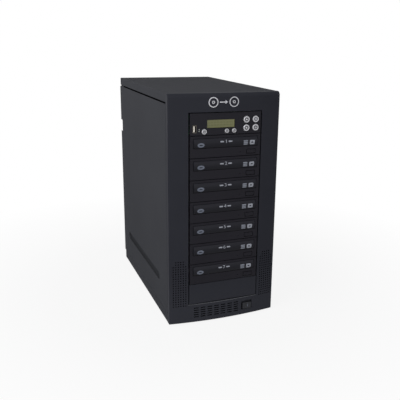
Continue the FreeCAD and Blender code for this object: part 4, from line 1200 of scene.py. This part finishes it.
markStand = 3.0 * mm  # how far in front of the bezel marks start, before they are laid on
doorPrint = inMm(dict(widen=1.25, plateShare=1.2, plateRing=0.36), thick=0.1, headroom=0.3, numberDrop=12.4,
        numberSize=8.8, dash=7.4, dashThick=2.5, dashAt=8.4, discAt=-50.5, discDrop=17.4, discWide=14.0,
        discTall=8.4, hub=4.6, squareAt=40.0, plateAt=53.5, squareDrop=16.5, squareSize=8.6, slit=0.8)


def doorPrints():
    d = doorPrint
    y = bezelLow.y - markStand
    size = d.squareSize
    third = (size - 2 * d.slit) / 3  # the square is three bars
    for number in drives:
        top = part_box("drive_%d_bezel" % number)[1].z + d.headroom
        z = top - d.numberDrop
        marks = [numberMark(str(number), 0, z, y, d.numberSize, d.widen, doorInk)]
        marks += [barMark(x, z, y, d.dash, d.dashThick, doorInk) for x in (-d.dashAt, d.dashAt)]
        ring = (d.discTall - d.hub / 2) / 2
        marks.append(discMark(d.discAt, top - d.discDrop, y, d.discWide, d.discTall, dimInk, ring))
        z = top - d.squareDrop
        marks += [barMark(d.squareAt, z + n * (third + d.slit), y, size, third, midInk) for n in (-1, 0, 1)]
        marks.append(barMark(d.plateAt, z, y, size * d.plateShare, size, doorInk, size * d.plateRing))
        finishMarks("drive%dPrint" % number, marks, "drive_%d_tray" % number, d.thick, trays[number - 1])


emblem = inMm(left=-27.0, right=14.0, rise=19.0, disc=19.0, ring=1.7, hub=5.6, hubRing=1.36, thick=0.4,
        arrowFrom=-14.5, arrowTo=1.5, shaft=2.0, headAt=3.3, headLong=3.6, headWide=7.8, headTall=6.6)


def headEmblem():  # a disc, an arrow and a disc
    e = emblem
    z = bayTop + e.rise
    y = bezelLow.y - markStand
    silver = finishes["silver_plastic"]
    marks = []
    for x in (e.left, e.right):
        marks.append(discMark(x, z, y, e.disc, e.disc, silver, e.ring, 64))
        marks.append(discMark(x, z, y, e.hub, e.hub, silver, e.hubRing, 32))
    end = e.arrowTo - e.headLong
    marks.append(barMark((e.arrowFrom + end) / 2, z, y, end - e.arrowFrom, e.shaft, silver))
    marks.append(discMark(e.arrowTo - e.headAt, z, y, e.headWide, e.headTall, silver, 0.0, 3, upright))
    return finishMarks("headEmblem", marks, "case", e.thick, bezelShell, "silver_plastic")


doorPrints()
headEmblem()
print("marks done")


# Feet, screws and fans

foot = inMm(dict(taper=0.89), radius=9.0, tall=3.0, edge=0.5, rim=2.2, slope=0.5, dish=0.8, stud=2.0, lap=0.2)


def rubberFeet():
    low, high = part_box("rubber_feet")
    r = foot.radius
    spots = [(x, y) for x in (low.x + r, high.x - r) for y in (low.y + r, high.y - r)]
    x, y = spots[0]
    pad = rodPart("rubberFeet", r, (x, y, 0), (x, y, foot.tall), 40)
    pick(pad, "FACE", lambda f: level(f, 2, 0))
    bpy.ops.transform.resize(value=(foot.taper, foot.taper, 1), center_override=(x, y, 0))
    roundLevel(pad, 2, 0, foot.edge, 3)
    sinkFace(pad, 2, 0, foot.rim, foot.slope, foot.dish)
    carve(pad, rodPart("stud", foot.stud, (x, y, foot.tall - foot.lap), (x, y, high.z), 16), "UNION")
    feet = [pad] + [copyPart(pad, "foot", (fx - x, fy - y, 0)) for fx, fy in spots[1:]]
    return finishPart(joinParts("rubberFeet", feet), "case", "foot_rubber", ["rubber_feet"])


knurl = inMm(dict(ribs=20), tall=7.0, edge=0.6, shank=1.75, lap=0.5, ribRim=0.12, cut=0.5, slotWide=1.2,
        slotDeep=1.4)


def thumbscrews():
    low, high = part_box("side_thumbscrews")
    r = side.screwHead
    seat = high.y - knurl.tall
    spots = [(x, z) for x in (low.x + r, high.x - r) for z in screwHeights()]
    x, z = spots[0]
    head = pinPart("sideThumbscrews", r, x, z, seat, high.y, 2 * knurl.ribs)
    roundEdges(head, lambda e: level(e, 1, high.y) or level(e, 1, seat), knurl.edge, 2)
    flanks = [f for f in head.data.polygons if abs(f.normal.y) < 0.05]
    flanks.sort(key=lambda f: math.atan2(f.center.z - z, f.center.x - x))
    grooves = {f.index for f in flanks[::2]}
    pick(head, "FACE", lambda f: f.index in grooves)
    bpy.ops.mesh.inset(thickness=knurl.ribRim, depth=-knurl.cut, use_individual=True)
    slot = boxPart("slot", (x - 2 * r, high.y - knurl.slotDeep, z - knurl.slotWide / 2),
            (x + 2 * r, high.y + over, z + knurl.slotWide / 2))
    carve(head, slot)
    carve(head, pinPart("shank", knurl.shank, x, z, low.y, seat + knurl.lap, 16), "UNION")
    screws = [head] + [copyPart(head, "screw", (sx - x, 0, sz - z)) for sx, sz in spots[1:]]
    return finishPart(joinParts("sideThumbscrews", screws), "case", "bright_metal", ["side_thumbscrews"])


rotor = inMm(dict(blades=7, rows=6, reach=0.965, pitchHub=52.0, pitchTip=30.0, widen=0.35), hub=19.0,
        hubFrom=4.5, edge=2.0, rim=3.0, slope=0.4, dish=0.3, shaft=1.5, root=1.5, trim=1.0, thick=1.4)


def fanBlades(centre, reach, yFront, yBack):
    inner = rotor.hub - rotor.root
    yMiddle = (yFront + yBack) / 2
    deselectAll()
    bpy.ops.mesh.primitive_plane_add(size=1, location=(centre.x, yMiddle, centre.z + (inner + reach) / 2),
            rotation=(0, upright, 0))
    blade = settle("blade", (reach - inner, yBack - yFront - rotor.trim, 1))
    pick(blade, "FACE")
    bpy.ops.mesh.subdivide(number_cuts=rotor.rows - 1)
    for row in range(rotor.rows + 1):  # the blade twists and widens towards its tip
        share = row / rotor.rows
        z = centre.z + inner + (reach - inner) * row / rotor.rows
        pivot = (centre.x, yMiddle, z)
        pitch = math.radians(rotor.pitchHub + (rotor.pitchTip - rotor.pitchHub) * share)
        pick(blade, "VERT", lambda v: abs(v.co.z - z) < hair)
        bpy.ops.transform.rotate(value=pitch, orient_axis="Z", center_override=pivot)
        bpy.ops.transform.resize(value=(1 + rotor.widen * share, 1, 1), center_override=pivot)
    pick(blade, "FACE")
    others = rotor.blades - 1
    bpy.ops.mesh.spin(dupli=True, steps=others, angle=2 * math.pi * others / rotor.blades, center=centre,
            axis=(0, 1, 0))
    deselectAll()
    return thicken(blade, rotor.thick, 0.0)


def fanRotor(node, name, body):
    low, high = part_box(node)
    centre = (low + high) / 2
    x, z = centre.x, centre.z
    yFront = low.y + rotor.hubFrom
    hub = pinPart(name, rotor.hub, x, z, yFront, high.y, 48)
    roundLevel(hub, 1, high.y, rotor.edge, 4)
    sinkFace(hub, 1, high.y, rotor.rim, rotor.slope, rotor.dish)
    carve(hub, pinPart("shaft", rotor.shaft, x, z, low.y, yFront + over, 16), "UNION")
    blades = fanBlades(centre, (high.x - low.x) / 2 * rotor.reach, yFront, high.y)
    return finishPart(joinParts(name, [hub, blades]), body, "fan_plastic", [node])


rubberFeet()
thumbscrews()
fanRotor("rear_fan_rotor", "rearFanRotor", "rear_fan")
fanRotor("psu_fan_rotor", "psuFanRotor", "psu_fan")
print("feet, screws and fans done")
